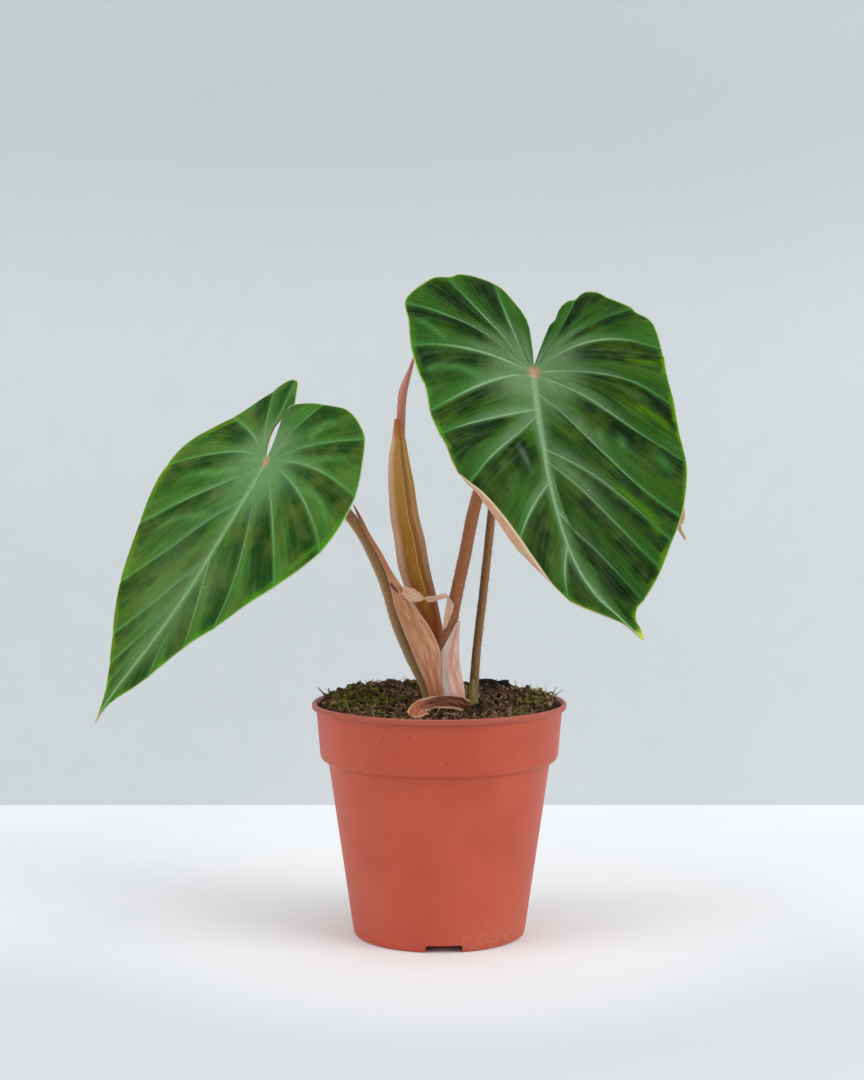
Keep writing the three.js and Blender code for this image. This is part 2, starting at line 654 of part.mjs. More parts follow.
function makePot() {
  const profile = [
    [0, 0], [potFoot.padRadius, 0], [potFoot.padRadius, potFoot.underside],
    [potFoot.inside, potFoot.underside], [potFoot.inside + potFoot.bevel, 0],
    ...potOutside, ...potInside.toReversed(), [0, potFoot.floorTop],
  ];
  const lathe = new THREE.LatheGeometry(profile.map(([r, z]) => new THREE.Vector2(r, z)), potSegments);
  let pot = solidOf(closed(lathe.rotateX(Math.PI / 2)));
  const floorMiddle = (potFoot.floorTop + potFoot.underside) / 2;
  for (let i = 0; i < drain.count; i++) {
    const a = (2 * Math.PI * (i + 0.5)) / drain.count;
    const bore = new THREE.CylinderGeometry(drain.radius, drain.radius, potFoot.floorTop, drain.sides);
    bore.rotateX(Math.PI / 2).translate(drain.circle * Math.cos(a), drain.circle * Math.sin(a), floorMiddle);
    pot = pot.subtract(solidOf(closed(bore)));
  }
  for (let i = 0; i < footNotch.count; i++) {
    const notch = new THREE.BoxGeometry(footNotch.width, footNotch.depth, 2 * footNotch.height);
    notch.translate(0, -potOutside[0][0], 0).rotateZ(turned(footNotch.first + (360 * i) / footNotch.count));
    pot = pot.subtract(solidOf(closed(notch)));
  }
  return geometryOf(pot);
}

// Inner radius of the pot at a height
function wallRadius(z) {
  const k = potInside.findIndex((p) => p[1] >= z);
  const [a, b] = [potInside[k - 1], potInside[k]];
  return mix(a[0], b[0], (z - a[1]) / (b[1] - a[1]));
}

// Height of the soil: a low hump towards the back, crumbs on top that get lower at the pot's wall
function soilHeight(x, y) {
  const radius = Math.hypot(x, y) / wallRadius(soil.edgeHeight);
  const far = Math.hypot(x - soil.humpAt[0], y - soil.humpAt[1]) / soil.humpSpread;
  const hump = soil.hump * Math.exp(-(far ** 2));
  const crumbs =
    Math.sin(0.61 * x + 1.3 * Math.sin(0.37 * y)) * Math.cos(0.53 * y - 0.8 * Math.sin(0.43 * x)) +
    0.6 * Math.sin(1.13 * x - 0.7 * y) * Math.cos(0.9 * y + 0.5 * x);
  return soil.edgeHeight + hump + soil.crumb * crumbs * (1 - 0.6 * radius ** 6);
}

function makeSoil(buried) {
  const ring = (radius, height) =>
    Array.from({ length: potSegments }, (_, i) => {
      const a = (2 * Math.PI * i) / potSegments;
      const [x, y] = [radius * Math.cos(a), radius * Math.sin(a)];
      return new THREE.Vector3(x, y, height ?? soilHeight(x, y));
    });
  const edge = soil.edgeHeight - soil.edgeDrop;
  const rings = potInside.filter(([, z]) => z < edge).map(([r, z]) => ring(r - soil.gap, z + seat));
  rings.push(ring(wallRadius(edge) - soil.gap, edge));
  const topRadius = wallRadius(soil.edgeHeight) - soil.gap;
  for (let k = 0; k < soil.rings; k++) rings.push(ring(topRadius * (1 - k / soil.rings)));
  let body = solidOf(skin(rings));
  for (const piece of buried) body = body.subtract(piece);
  return geometryOf(body);
}

function makePlant() {
  const crown = (grow) =>
    fused([
      stem(crownLine, crownRadii, 10, 8, grow),
      ...roots.map((line) => stem(line, rootRadii, 6, 7, grow)),
    ]);
  const body = crown(0);
  const seatOfCrown = crown(seat);
  const stems = Object.fromEntries(
    Object.entries(petioles).map(([name, { leaf, line, radii }]) => {
      const whole = [...line, petioleTop(leaf)];
      const tube = (grow) => solidOf(stem(whole, radii, petioleSides, 18, grow));
      return [name, { solid: tube(0), fat: tube(seat) }];
    }),
  );
  const offCrown = (geometry) => solidOf(geometry).subtract(seatOfCrown);
  const amber = offCrown(makeSpindle(amberSheath));
  const fatAmber = solidOf(makeSpindle(amberSheath, seat));
  const spearHole = solidOf(stem(spear.line, spear.radii, spear.sides, 12, seat));
  return {
    crown: body,
    buried: [seatOfCrown, fatAmber, ...Object.values(stems).map(({ fat }) => fat)],
    petioleRight: stems.right.solid.subtract(seatOfCrown),
    petioleLeft: stems.left.solid.subtract(seatOfCrown),
    petioleBack: stems.back.solid.subtract(seatOfCrown),
    amber: amber.subtract(spearHole),
    spear: solidOf(stem(spear.line, spear.radii, spear.sides, 12)),
    leftSheath: offCrown(makeStrip(leftSheath)),
    ribbon: solidOf(makeStrip(ribbon)),
    frontSheath: offCrown(makeStrip(frontSheath)).subtract(stems.right.fat),
    dryCurl: solidOf(makeStrip(dryCurl)),
    bract: offCrown(makeStrip(bract)),
  };
}

const plant = makePlant();
const group = new THREE.Group();

function add(name, geometry, color, roughness = 0.7) {
  const material = new THREE.MeshStandardMaterial({ color, roughness, metalness: 0 });
  const mesh = new THREE.Mesh(geometry, material);
  mesh.name = name;
  group.add(mesh);
}

add("pot", makePot(), colours.terracotta, 0.45);
add("soil", makeSoil(plant.buried), colours.peat, 0.95);
add("crown", geometryOf(plant.crown), colours.cork, 0.9);
add("leaf_right", makeBlade(rightLeaf), colours.leafGreen);
add("leaf_left", makeBlade(leftLeaf), colours.paleGreen);
add("leaf_back", makeBlade(backLeaf), colours.paleGreen);
add("petiole_right", geometryOf(plant.petioleRight), colours.pinkBrown);
add("petiole_left", geometryOf(plant.petioleLeft), colours.olive);
add("petiole_back", geometryOf(plant.petioleBack), colours.olive);
add("new_leaf_sheath", geometryOf(plant.amber), colours.amber, 0.5);
add("new_leaf_spear", geometryOf(plant.spear), colours.pink, 0.5);
add("sheath_left", geometryOf(plant.leftSheath), colours.pink, 0.6);
add("ribbon", geometryOf(plant.ribbon), colours.palePink, 0.6);
add("sheath_front", geometryOf(plant.frontSheath), colours.palePink, 0.6);
add("dry_curl", geometryOf(plant.dryCurl), colours.dryBrown, 0.8);
add("bract", geometryOf(plant.bract), colours.olive, 0.7);

export default group;
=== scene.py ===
import math
import bpy
import bmesh
import numpy as np
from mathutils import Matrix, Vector, noise


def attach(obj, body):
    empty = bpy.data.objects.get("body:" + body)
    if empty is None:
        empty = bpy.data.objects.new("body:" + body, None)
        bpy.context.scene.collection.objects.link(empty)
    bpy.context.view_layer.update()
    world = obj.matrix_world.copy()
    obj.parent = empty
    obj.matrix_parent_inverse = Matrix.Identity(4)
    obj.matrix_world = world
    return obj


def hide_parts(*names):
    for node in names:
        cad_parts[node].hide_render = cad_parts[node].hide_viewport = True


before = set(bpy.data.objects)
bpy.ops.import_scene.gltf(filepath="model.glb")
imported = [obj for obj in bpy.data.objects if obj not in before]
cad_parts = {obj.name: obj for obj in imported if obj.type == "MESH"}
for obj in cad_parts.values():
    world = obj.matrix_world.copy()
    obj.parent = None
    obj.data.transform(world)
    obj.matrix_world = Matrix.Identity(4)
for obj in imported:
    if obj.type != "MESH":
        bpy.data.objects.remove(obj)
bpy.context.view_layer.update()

# A young philodendron verrucosum in a terracotta-coloured nursery pot.
# Shapes are drawn in millimetres, and become metres when their mesh is made.
mm = 0.001


def tone(red, green, blue):
    # a colour as seen on screen, 0 to 255, in the linear values that a shader wants
    shares = [value / 255 for value in (red, green, blue)]
    return tuple(x / 12.92 if x <= 0.04045 else ((x + 0.055) / 1.055) ** 2.4 for x in shares) + (1.0,)


def sceneObject(name, data):
    made = bpy.data.objects.new(name, data)
    bpy.context.scene.collection.objects.link(made)
    return made


# Camera and lights
view = {
    "place": (-3.4, -950.0, 244.0), "pitch": 3.48,
    "focalPixels": 2026.0, "frameHeight": 1080.0, "sensor": 36.0,
}
studio = {
    "wallAt": 313.0, "wallWidth": 6000.0, "wallHeight": 3000.0, "floorDepth": 5000.0,
    "sky": tone(214, 218, 220), "skyStrength": 0.74,
    "lamps": [  # name, place, size and power in watts, all turned to the plant
        ("windowRight", (1250, -750, 900), (1100, 1100), 13.2),
        ("windowLeft", (-1350, -650, 850), (1100, 1100), 9.7),
        ("above", (0, -300, 1500), (1500, 1000), 4.2),
    ],
    "aim": (0, 0, 180),
}


def buildCamera():
    data = bpy.data.cameras.new("photoCamera")
    data.sensor_fit = "VERTICAL"
    data.sensor_height = view["sensor"]
    data.lens = view["focalPixels"] / view["frameHeight"] * view["sensor"]
    camera = sceneObject("photoCamera", data)
    camera.location = Vector(view["place"]) * mm
    camera.rotation_euler = (math.radians(90 - view["pitch"]), 0, 0)
    bpy.context.scene.camera = camera


def buildLamps():
    for name, place, size, power in studio["lamps"]:
        data = bpy.data.lights.new(name, "AREA")
        data.shape = "RECTANGLE"
        data.size = size[0] * mm
        data.size_y = size[1] * mm
        data.energy = power
        lamp = sceneObject(name, data)
        lamp.location = Vector(place) * mm
        lamp.rotation_euler = (Vector(studio["aim"]) - Vector(place)).to_track_quat("-Z", "Y").to_euler()
    world = bpy.data.worlds.new("paleRoom")
    world.use_nodes = True
    background = world.node_tree.nodes["Background"]
    background.inputs["Color"].default_value = studio["sky"]
    background.inputs["Strength"].default_value = studio["skyStrength"]
    bpy.context.scene.world = world
    bpy.context.scene.view_settings.view_transform = "Standard"


def addNode(tree, kind, settings=None, sockets=None):
    made = tree.nodes.new(kind)
    for name, setting in (settings or {}).items():
        setattr(made, name, setting)
    for name, value in (sockets or {}).items():
        if isinstance(value, bpy.types.NodeSocket):
            tree.links.new(value, made.inputs[name])
        else:
            made.inputs[name].default_value = value
    return made


def mathStep(operation, swapped=False):
    def act(wire, *others):
        values = (*others, wire) if swapped else (wire, *others)
        return wire.shader.calc(operation, *values)
    return act


# Shader sums: a Wire is a socket that can be added and multiplied
class Wire:
    def __init__(self, shader, socket):
        self.shader = shader
        self.socket = socket

    def calc(self, operation, *others):
        return self.shader.calc(operation, self, *others)

    __add__ = __radd__ = mathStep("ADD")
    __mul__ = __rmul__ = mathStep("MULTIPLY")
    __sub__ = mathStep("SUBTRACT")
    __rsub__ = mathStep("SUBTRACT", swapped=True)
    __truediv__ = mathStep("DIVIDE")
    __pow__ = mathStep("POWER")
    __abs__ = mathStep("ABSOLUTE")


class Shader:
    def __init__(self, name):
        self.material = bpy.data.materials.new(name)
        self.material.use_nodes = True
        self.tree = self.material.node_tree
        self.tree.nodes.clear()
        self.colour = None

    def node(self, kind, settings, sockets):
        plain = {name: value.socket if isinstance(value, Wire) else value for name, value in sockets.items()}
        return addNode(self.tree, kind, settings, plain)

    def wire(self, kind, settings, sockets, output=0):
        return Wire(self, self.node(kind, settings, sockets).outputs[output])

    def calc(self, operation, *values):
        return self.wire("ShaderNodeMath", {"operation": operation}, dict(enumerate(values)))

    def ease(self, value, low, high, start=0.0, end=1.0):
        # from start to end while the value goes from low to high, softly
        return self.wire(
            "ShaderNodeMapRange", {"interpolation_type": "SMOOTHSTEP"},
            {"Value": value, "From Min": low, "From Max": high, "To Min": start, "To Max": end})

    def mixed(self, share, first, second):
        return self.wire("ShaderNodeMix", {"data_type": "RGBA"}, {0: share, 6: first, 7: second}, 2)

    def coat(self, share, colour):
        # a share of one more colour over those that are there
        self.colour = self.mixed(share, self.colour, colour)

    def scaled(self, vector, factors):
        return self.wire("ShaderNodeVectorMath", {"operation": "MULTIPLY"}, {0: vector, 1: factors})

    def split(self, vector):
        parts = self.node("ShaderNodeSeparateXYZ", {}, {0: vector})
        return [Wire(self, parts.outputs[k]) for k in range(3)]

    def joined(self, x, y, z=0.0):
        return self.wire("ShaderNodeCombineXYZ", {}, {0: x, 1: y, 2: z})

    def place(self):
        # where a point of the piece is, in millimetres
        return self.scaled(self.wire("ShaderNodeTexCoord", {}, {}, "Object"), (1 / mm, 1 / mm, 1 / mm))

    def attribute(self, name):
        return self.wire("ShaderNodeAttribute", {"attribute_name": name}, {}, "Vector")

    def grain(self, vector, size, detail=3.0, roughness=0.55, distortion=0.0):
        # noise from 0 to 1, its lumps about as big as size
        return self.wire(
            "ShaderNodeTexNoise", {},
            {"Vector": vector, "Scale": 1 / size, "Detail": detail, "Roughness": roughness,
             "Distortion": distortion})

    def cells(self, vector, size):
        # how far the nearest of scattered points is, about size apart
        return self.wire("ShaderNodeTexVoronoi", {}, {"Vector": vector, "Scale": 1 / size}, "Distance")

    def surface(self, roughness, height, depth, strength, specular=0.5, more=None):
        # the coats so far, with a bump that is depth millimetres deep
        bump = {"Height": height, "Distance": depth * mm, "Strength": strength}
        sockets = {
            "Base Color": self.colour, "Roughness": roughness, "Specular IOR Level": specular,
            "Normal": self.wire("ShaderNodeBump", {}, bump, "Normal")}
        return self.wire("ShaderNodeBsdfPrincipled", {}, {**sockets, **(more or {})}, "BSDF")

    def finish(self, surface):
        self.node("ShaderNodeOutputMaterial", {}, {"Surface": surface})
        return self.material


def edited(mesh, change):
    work = bmesh.new()
    work.from_mesh(mesh)
    change(work)
    work.to_mesh(mesh)
    work.free()
    return mesh


def roundShaded(mesh):
    mesh.polygons.foreach_set("use_smooth", [True] * len(mesh.polygons))
    return mesh


# Meshes: grids of points, merged where they agree to the 2000th part of a millimetre
mergePerMm = 2000


class Draft:
    def __init__(self):
        self.quads = []
        self.data = []
        self.slots = []

    def grid(self, points, data=None, slot=0):
        # points is rows x columns x 3
        def corners(values):
            around = [values[:-1, :-1], values[:-1, 1:], values[1:, 1:], values[1:, :-1]]
            return np.stack(around, 2).reshape(-1, 4, values.shape[-1])
        quads = corners(np.asarray(points, float))
        self.quads.append(quads)
        if data is not None:
            self.data.append(corners(data))
        self.slots.append(np.full(len(quads), slot))

    def mesh(self, name, channels=(), smoothTo=40):
        # channels names the corner attributes, three numbers of data each
        quads = np.concatenate(self.quads)
        slots = np.concatenate(self.slots)
        keys = np.round(quads.reshape(-1, 3) * mergePerMm).astype(np.int64)
        _, first, index = np.unique(keys, axis=0, return_index=True, return_inverse=True)
        points = quads.reshape(-1, 3)[first] * mm
        index = index.reshape(-1, 4)
        # corners that fall together are left out, and so are faces with fewer than three
        keep = [
            [c for c in range(4) if face[c] != face[c - 1]] if len(set(face)) > 2 else []
            for face in index.tolist()]
        used = [k for k, corners in enumerate(keep) if len(corners) > 2]
        faces = [index[k, keep[k]].tolist() for k in used]
        made = bpy.data.meshes.new(name)
        made.from_pydata(points.tolist(), [], faces)
        made.polygons.foreach_set("material_index", slots[used].astype(np.int32))
        if channels:
            data = np.concatenate(self.data)
            corners = np.concatenate([data[k, keep[k]] for k in used])
            for number, channel in enumerate(channels):
                layer = made.attributes.new(channel, "FLOAT_VECTOR", "CORNER")
                layer.data.foreach_set("vector", corners[:, 3 * number:3 * number + 3].ravel())
        edited(made, lambda work: bmesh.ops.recalc_face_normals(work, faces=work.faces))
        roundShaded(made).set_sharp_from_angle(angle=math.radians(smoothTo))
        return made


def plainMesh(thing):
    # the mesh that its modifiers make
    bpy.context.view_layer.update()
    return bpy.data.meshes.new_from_object(thing.evaluated_get(bpy.context.evaluated_depsgraph_get()))


def addPiece(name, mesh, materials, slot, *nodes):
    for material in materials:
        mesh.materials.append(material)
    piece = sceneObject(name, mesh)
    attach(piece, "root")
    if nodes:
        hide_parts(*nodes)
    print(f"{name}: {len(mesh.polygons)} faces")
    return piece


def unit(vectors):
    return vectors / np.linalg.norm(vectors, axis=-1, keepdims=True)


def blend(a, b, share):
    return a + (b - a) * share


def smooth(value, low, high):
    share = np.clip((value - low) / (high - low), 0, 1)
    return share * share * (3 - 2 * share)


def curveAt(points, place):
    # a smooth curve through the points, read at places that count them
    knots = np.array([list(point) + [0] * (3 - len(point)) for point in points], float)
    gaps = np.sqrt(np.linalg.norm(np.diff(knots, axis=0), axis=1))[:, None]
    slopes = np.diff(knots, axis=0) / gaps
    inner = (slopes[:-1] * gaps[1:] + slopes[1:] * gaps[:-1]) / (gaps[1:] + gaps[:-1])
    tangents = np.vstack([slopes[:1], inner, slopes[-1:]])
    place = np.asarray(place, float)
    k = np.clip(np.floor(place).astype(int), 0, len(knots) - 2)
    t = (place - k)[..., None]
    start, end = knots[k], knots[k + 1]
    leave, arrive = tangents[k] * gaps[k], tangents[k + 1] * gaps[k]
    return (
        (2 * t ** 3 - 3 * t ** 2 + 1) * start + (t ** 3 - 2 * t ** 2 + t) * leave
        + (3 * t ** 2 - 2 * t ** 3) * end + (t ** 3 - t ** 2) * arrive)


def valuesAt(values, place):
    return np.interp(place, np.arange(len(values)), values)


def runAlong(points):
    # how far along the line of points each of them is
    return np.concatenate([[0], np.cumsum(np.linalg.norm(np.diff(points, axis=0), axis=1))])


# Leaves. A half is drawn flat as (out from the midrib, along the midrib): an outline from the notch between
# the lobes to the drip tip, and veins as (where it leaves the midrib, bend, outline point that it reaches).
# The spine bends the flat blade into place, and face is where its upper side looks, at the petiole and tip.
blade = {
    "rows": 16, "longestStep": 1.5, "fewestSteps": 6, "columns": 54, "columnPower": 1.12,
    "thickness": 0.45, "quilt": 0.1, "quiltMost": 2.2, "pucker": 0.22, "puckerSize": 5.5,
    "groove": 0.45, "grooveWidth": 0.75, "grooveLoss": 0.7,
    "ridge": 0.75, "ridgeWidth": 0.8, "ridgeLoss": 0.75,
    "midribGroove": 0.5, "midribRidge": 1.2, "midribWidth": 1.5, "midribLoss": 0.7,
    "forkWidth": 0.85, "forkGlow": 2.2, "streakWidth": 1.6,
    # where each of these begins and where it is at its full, in millimetres
    "quiltByMidrib": (0.3, 9), "puckerByMidrib": (2, 9), "puckerByVein": (0.5, 4), "puckerByEdge": (0, 5),
    "thickByEdge": (0, 1.6), "veinBySpacing": (1, 6), "lapBelow": (11, 20), "lapBeside": (12, 28),
    "faceTurn": 140, "innerEdge": 1.2,
    # added to the places on the left half, so that the two halves' patterns differ
    "leftPlaces": 20,
}
broadHalf = {
    "outline": [
        (0, -3.4), (1.5, -8), (3, -13), (6.5, -23), (9.5, -26), (10.5, -30.5), (14.5, -34.5), (17.5, -35),
        (22, -38.5), (28.5, -38), (32.5, -35.5), (36, -34), (44, -30), (45.5, -28), (52, -24), (56.5, -16),
        (59, -2.5), (59, 18), (59.5, 28), (59, 41), (58.5, 56), (57.5, 68), (55, 78), (50.5, 89), (45, 97.5),
        (34, 109), (23, 117), (11, 122), (6.5, 123), (3, 126.5), (2, 131), (0, 136)],
    "veins": [
        (0, (8, -13), 7.2), (0, (13, -22), 12.2), (0, (25, -25.5), 15.4), (0, (34, -1.5), 18.3),
        (0, (33, 20.5), 20.9), (9, (24, 36), 24), (37, (28, 57), 24.8), (42, (19, 65), 25.8),
        (67, (9.5, 88), 27.1)],
    "forks": [[(18.9, 34.4), (26.7, 39.7), (37.6, 49), (47.5, 61), (53, 72)]],
    "streaks": [
        [(41, -3.3), (46, -0.4), (52, 5), (57, 12)], [(41.5, 27.3), (47, 31.1), (52.2, 38), (57, 48.4)],
        [(24, 63.4), (30.6, 79), (34, 92.3), (33, 103)]],
}
rightLeaf = {
    "spine": [
        (45, -14, 306), (44, -21, 284), (43, -28, 264), (46, -36, 243), (51, -47, 217), (59, -56, 193),
        (70, -63, 172), (84, -69, 153), (90, -70, 146)],
    "attachAt": 2, "face": [(0.05, -1, 0.3), (0, -1, 0.3)],
    "midrib": [
        (0, 0), (-1, 20), (-2, 40), (-4, 56), (-6, 72), (-8, 86), (-9, 98), (-8, 110), (-4, 120), (0, 136)],
    "tip": (96, (-5.5, 120)),
    "right": {**broadHalf, "fold": [(0, 14), (1, 14)]},
    "left": {
        "outline": [
            (0, -3.4), (0.5, -8), (2, -16), (4.5, -25), (11, -33), (18.5, -39.5), (30, -42.5), (38, -42.5),
            (41, -41), (49, -39.5), (54.5, -35.5), (60, -30), (62, -26), (60, -15), (58, -5.5), (54, 3),
            (52, 6.5), (53, 21), (54.5, 31), (56, 40), (60, 50), (61.2, 58), (59.4, 65), (55.3, 73.8),
            (49.4, 82.8), (42.2, 91.4), (35.4, 98.2), (30, 104), (24, 109.5), (16, 115.5), (9, 121),
            (4, 125), (2, 129), (0, 136)],
        "veins": [
            (0, (11.5, -18), 5.2), (0, (18, -18.5), 8.3), (0, (31, -24), 12.1), (0, (26, -11), 14),
            (0, (26.5, 3.3), 16.7), (18, (33, 21), 18.3), (20, (22, 38.5), 21.2), (54, (24, 67), 24.4),
            (84, (21, 95), 27.5)],
        "forks": [
            [(22, 4.1), (30.2, 1.4), (37.4, -0.2), (48, 0.5), (53, 2)],
            [(40.8, -9), (45, -11), (52, -14.7), (59, -16.3)]],
        "fold": [(5, 12), (65, 44)],
        "roll": {
            "from": (65, 48), "to": (32.5, 100.5), "turn": 86, "spread": 4,
            "rise": (26, 50), "fall": (104, 132)},
    },
}
leftLeaf = {
    "spine": [
        (-55, -33, 270), (-67, -29, 246), (-79, -27, 224), (-90, -26, 206), (-103, -25, 185),
        (-114, -24, 167), (-129, -22, 145), (-154, -18, 112), (-161, -17, 100)],
    "attachAt": 2, "face": [(-0.66, -0.62, 0.42), (-0.7, -0.58, 0.42)],
    "midrib": [(0, 0), (1, 20), (1, 60), (0, 100), (0, 147)],
    "tip": (98, (0, 124)),
    "right": {
        "outline": [
            (0, -3.3), (0.4, -8), (-2, -12), (-5, -16.5), (-7, -20.5), (-7.4, -24), (1, -29.4),
            (11.5, -34.4), (21.5, -38), (31.5, -41.2), (39.5, -43.2), (47.5, -43.3), (54.5, -41.9),
            (60.6, -39.6), (65.2, -35.2), (69.8, -27.2), (74.2, -16), (76.4, -3.5), (75, 12), (67.8, 28),
            (59, 40.5), (47.8, 56), (37, 71), (26, 86.5), (18.6, 103), (11.4, 119.6), (4.6, 131.4),
            (1.4, 138.5), (0, 147)],
        "veins": [
            (0, (6, -18), 8), (0, (25.5, -20.5), 13.4), (0, (34, -16), 16.3), (0, (40.5, -4), 18.2),
            (0, (33, 19), 20), (11, (27, 34.5), 22.1), (50, (11.5, 68), 23.1), (62, (6.5, 96), 24.4)],
        "forks": [
            [(34, 1), (44, -1.6), (56, -1.9), (71, 5)], [(32.6, -11.7), (44.7, -19.4), (62, -27)],
            [(25, -14.3), (29.2, -28), (40, -38)]],
        "streaks": [[(72, 10), (66, 22), (60, 34)]],
        "fold": [(0, 2), (1, 2)], "lift": 0.6, "inner": ((-5, -17), 5),
    },
    "left": {
        "outline": [
            (0, -3.3), (4.6, -6.4), (9, -9.8), (11.8, -13.8), (9.5, -19), (5, -23.5), (2, -28), (7, -32.4),
            (12.8, -36.4), (20, -36), (32.6, -29.8), (42, -23.6), (49.4, -18), (53.6, -11.6), (56.2, -3),
            (57.6, 11), (57, 19.5), (54.6, 32.2), (53.8, 42), (50.6, 58.5), (46, 75.5), (39.8, 91.4),
            (30.4, 105), (18.5, 117.2), (8.6, 127.6), (3.4, 135), (0, 147)],
        "veins": [
            (0, (19, -14), 8.8), (0, (22, -11), 10.8), (0, (26, -7.5), 13.9), (0, (31, -1), 16.9),
            (0, (22.5, 26), 19.1), (20, (15.5, 41), 21), (50, (12, 78), 22.6), (62, (5, 91), 23.5),
            (88, (4, 108), 24.3)],
        "forks": [
            [(11, 9), (24, 18.5), (36, 26), (43, 34)], [(8.5, 34), (22.8, 42.7), (34.5, 52.7), (41, 62.6)]],
        "streaks": [
            [(55, 22), (52, 40), (50, 52)], [(48, 62), (43, 78), (36, 92)], [(50, -8), (54, 4), (55, 14)]],
        "fold": [(-25, -17), (38, 12)], "lift": -0.6, "inner": ((22.5, -14), 5),
    },
}
backLeaf = {
    "spine": [
        (0, 20, 285), (11, 26, 278), (37, 34, 256), (59, 40, 241), (79, 46, 224), (100, 52, 207),
        (118, 57, 190), (123, 58, 183)],
    "attachAt": 2.25, "face": [(0.61, 0.2, 0.77), (0.66, 0.25, 0.7)], "scale": 0.82, "narrow": 0.7,
    "midrib": [(0, 0), (0, 60), (0, 136)],
    "tip": (90, (0, 114)),
    "right": {**broadHalf, "fold": [(0, 12), (1, 12)]},
    "left": {**broadHalf, "fold": [(0, 12), (1, 12)]},
}


def halfOf(leaf, side):
    drawn = leaf["right" if side > 0 else "left"]
    tipStart, tipBend = leaf["tip"]
    rays = [
        (0, *drawn.get("inner", (drawn["outline"][0], 0))), *drawn["veins"],
        (tipStart, (side * tipBend[0], tipBend[1]), len(drawn["outline"]) - 1)]
    return {
        "side": side, "drawn": drawn, "starts": np.array([ray[0] for ray in rays], float),
        "bends": np.array([ray[1] for ray in rays], float), "ends": np.array([ray[2] for ray in rays], float)}


def midribAt(leaf, v):
    return np.interp(v, [point[1] for point in leaf["midrib"]], [point[0] for point in leaf["midrib"]])


def crowded(count):
    # from 0 to 1, closer together at both ends
    even = np.linspace(0, 1, count + 1)
    return blend(even, 0.5 - 0.5 * np.cos(np.pi * even), 0.7)


def placesOf(halves):
    # the same number of places between the veins on both halves, and a row at each vein
    starts = sorted({start for half in halves for start in half["starts"]})
    cuts = []
    for low, high in zip(starts, starts[1:]):
        parts = max(blade["fewestSteps"], math.ceil((high - low) / blade["longestStep"]))
        cuts += list(low + (high - low) * crowded(parts)[1:])
    places = []
    for half in halves:
        basal = int((half["starts"] == 0).sum()) - 1
        fan = np.concatenate([k + crowded(blade["rows"])[:-1] for k in range(basal)] + [[basal]])
        ridden = np.interp(cuts, half["starts"][basal:], np.arange(basal, len(half["starts"])))
        places.append(np.concatenate([fan, ridden]))
    return places


def flatHalf(leaf, half, place, t):
    # flat points for each place (rows) and share of the way to the margin (columns)
    side, starts, ends = half["side"], half["starts"], half["ends"]
    k = np.clip(np.floor(place).astype(int), 0, len(starts) - 2)
    f = (place - k)[:, None, None]
    share = t[None, :, None]

    def ends2d(ray):
        start = np.stack([side * midribAt(leaf, starts[ray]), starts[ray]], -1)[:, None]
        end = curveAt(half["drawn"]["outline"], ends[ray])[:, None, :2]
        return start, half["bends"][ray][:, None], end

    def bent(start, via, end):
        return blend(blend(start, via, share), blend(via, end, share), share)

    first, second = ends2d(k), ends2d(k + 1)
    a, b = bent(*first), bent(*second)
    point = blend(a, b, f)
    reached = blend(ends[k], ends[k + 1], place - k)
    edge = curveAt(half["drawn"]["outline"], reached)[:, None, :2]
    point = point + (edge - blend(first[2], second[2], f)) * share ** 2
    start = blend(starts[k], starts[k + 1], place - k)
    lean = side * midribAt(leaf, start)[:, None] - blend(first[0], second[0], f)[..., 0]
    point[..., 0] += (1 - t[None, :]) ** 2 * lean
    return point, np.linalg.norm(a - b, axis=-1), np.broadcast_to(f[..., 0], point.shape[:2])


def slopeAt(half, s, v):
    (v0, low), (v1, high) = half["drawn"]["fold"]
    slope = blend(low, high, smooth(v, v0, v1))
    roll = half["drawn"].get("roll")
    if roll:
        ds, dv = roll["to"][0] - roll["from"][0], roll["to"][1] - roll["from"][1]
        beyond = ((s - roll["from"][0]) * dv - (v - roll["from"][1]) * ds) / math.hypot(ds, dv)
        slope = slope + (
            roll["turn"] * smooth(beyond, -roll["spread"], roll["spread"])
            * smooth(v, *roll["rise"]) * (1 - smooth(v, *roll["fall"])))
    return np.radians(slope)


def bentBlade(leaf, halves, side, s, v):
    # where flat points come to lie, and which way the upper side looks there
    last, parts = len(leaf["spine"]) - 1, 400
    samples = np.linspace(0, last, parts + 1)
    line = curveAt(leaf["spine"], samples)
    lengths = runAlong(line)
    start = lengths[round(leaf["attachAt"] / last * parts)]
    spot = np.interp(np.clip(start + v, 0, lengths[-1]), lengths, samples)
    small = 1e-3
    at = curveAt(leaf["spine"], spot)
    ahead = curveAt(leaf["spine"], np.minimum(spot + small, last))
    forward = unit(ahead - curveAt(leaf["spine"], np.maximum(spot - small, 0)))
    looks = np.array(leaf["face"], float)
    up = blend(looks[0], looks[1], np.clip(v / blade["faceTurn"], 0, 1)[..., None])
    up = unit(up - forward * (up * forward).sum(-1, keepdims=True))
    across = np.cross(up, forward)

    def laid(half, sign, reach):
        point = at.copy()
        steps = 12
        for k in range(steps):
            slope = slopeAt(half, reach * (k + 0.5) / steps, v)[..., None]
            point += across * (sign * reach[..., None] * np.cos(slope)) / steps
            point += up * (reach[..., None] * np.sin(slope)) / steps
        slope = np.where(reach > 0, slopeAt(half, reach, v), 0)[..., None]
        return point, up * np.cos(slope) - across * sign * np.sin(slope)

    own = laid(halves[side], side, np.abs(s))
    other = laid(halves[-side], -side, np.abs(s))
    over = (s < 0)[..., None]
    return np.where(over, other[0], own[0]), np.where(over, other[1], own[1])


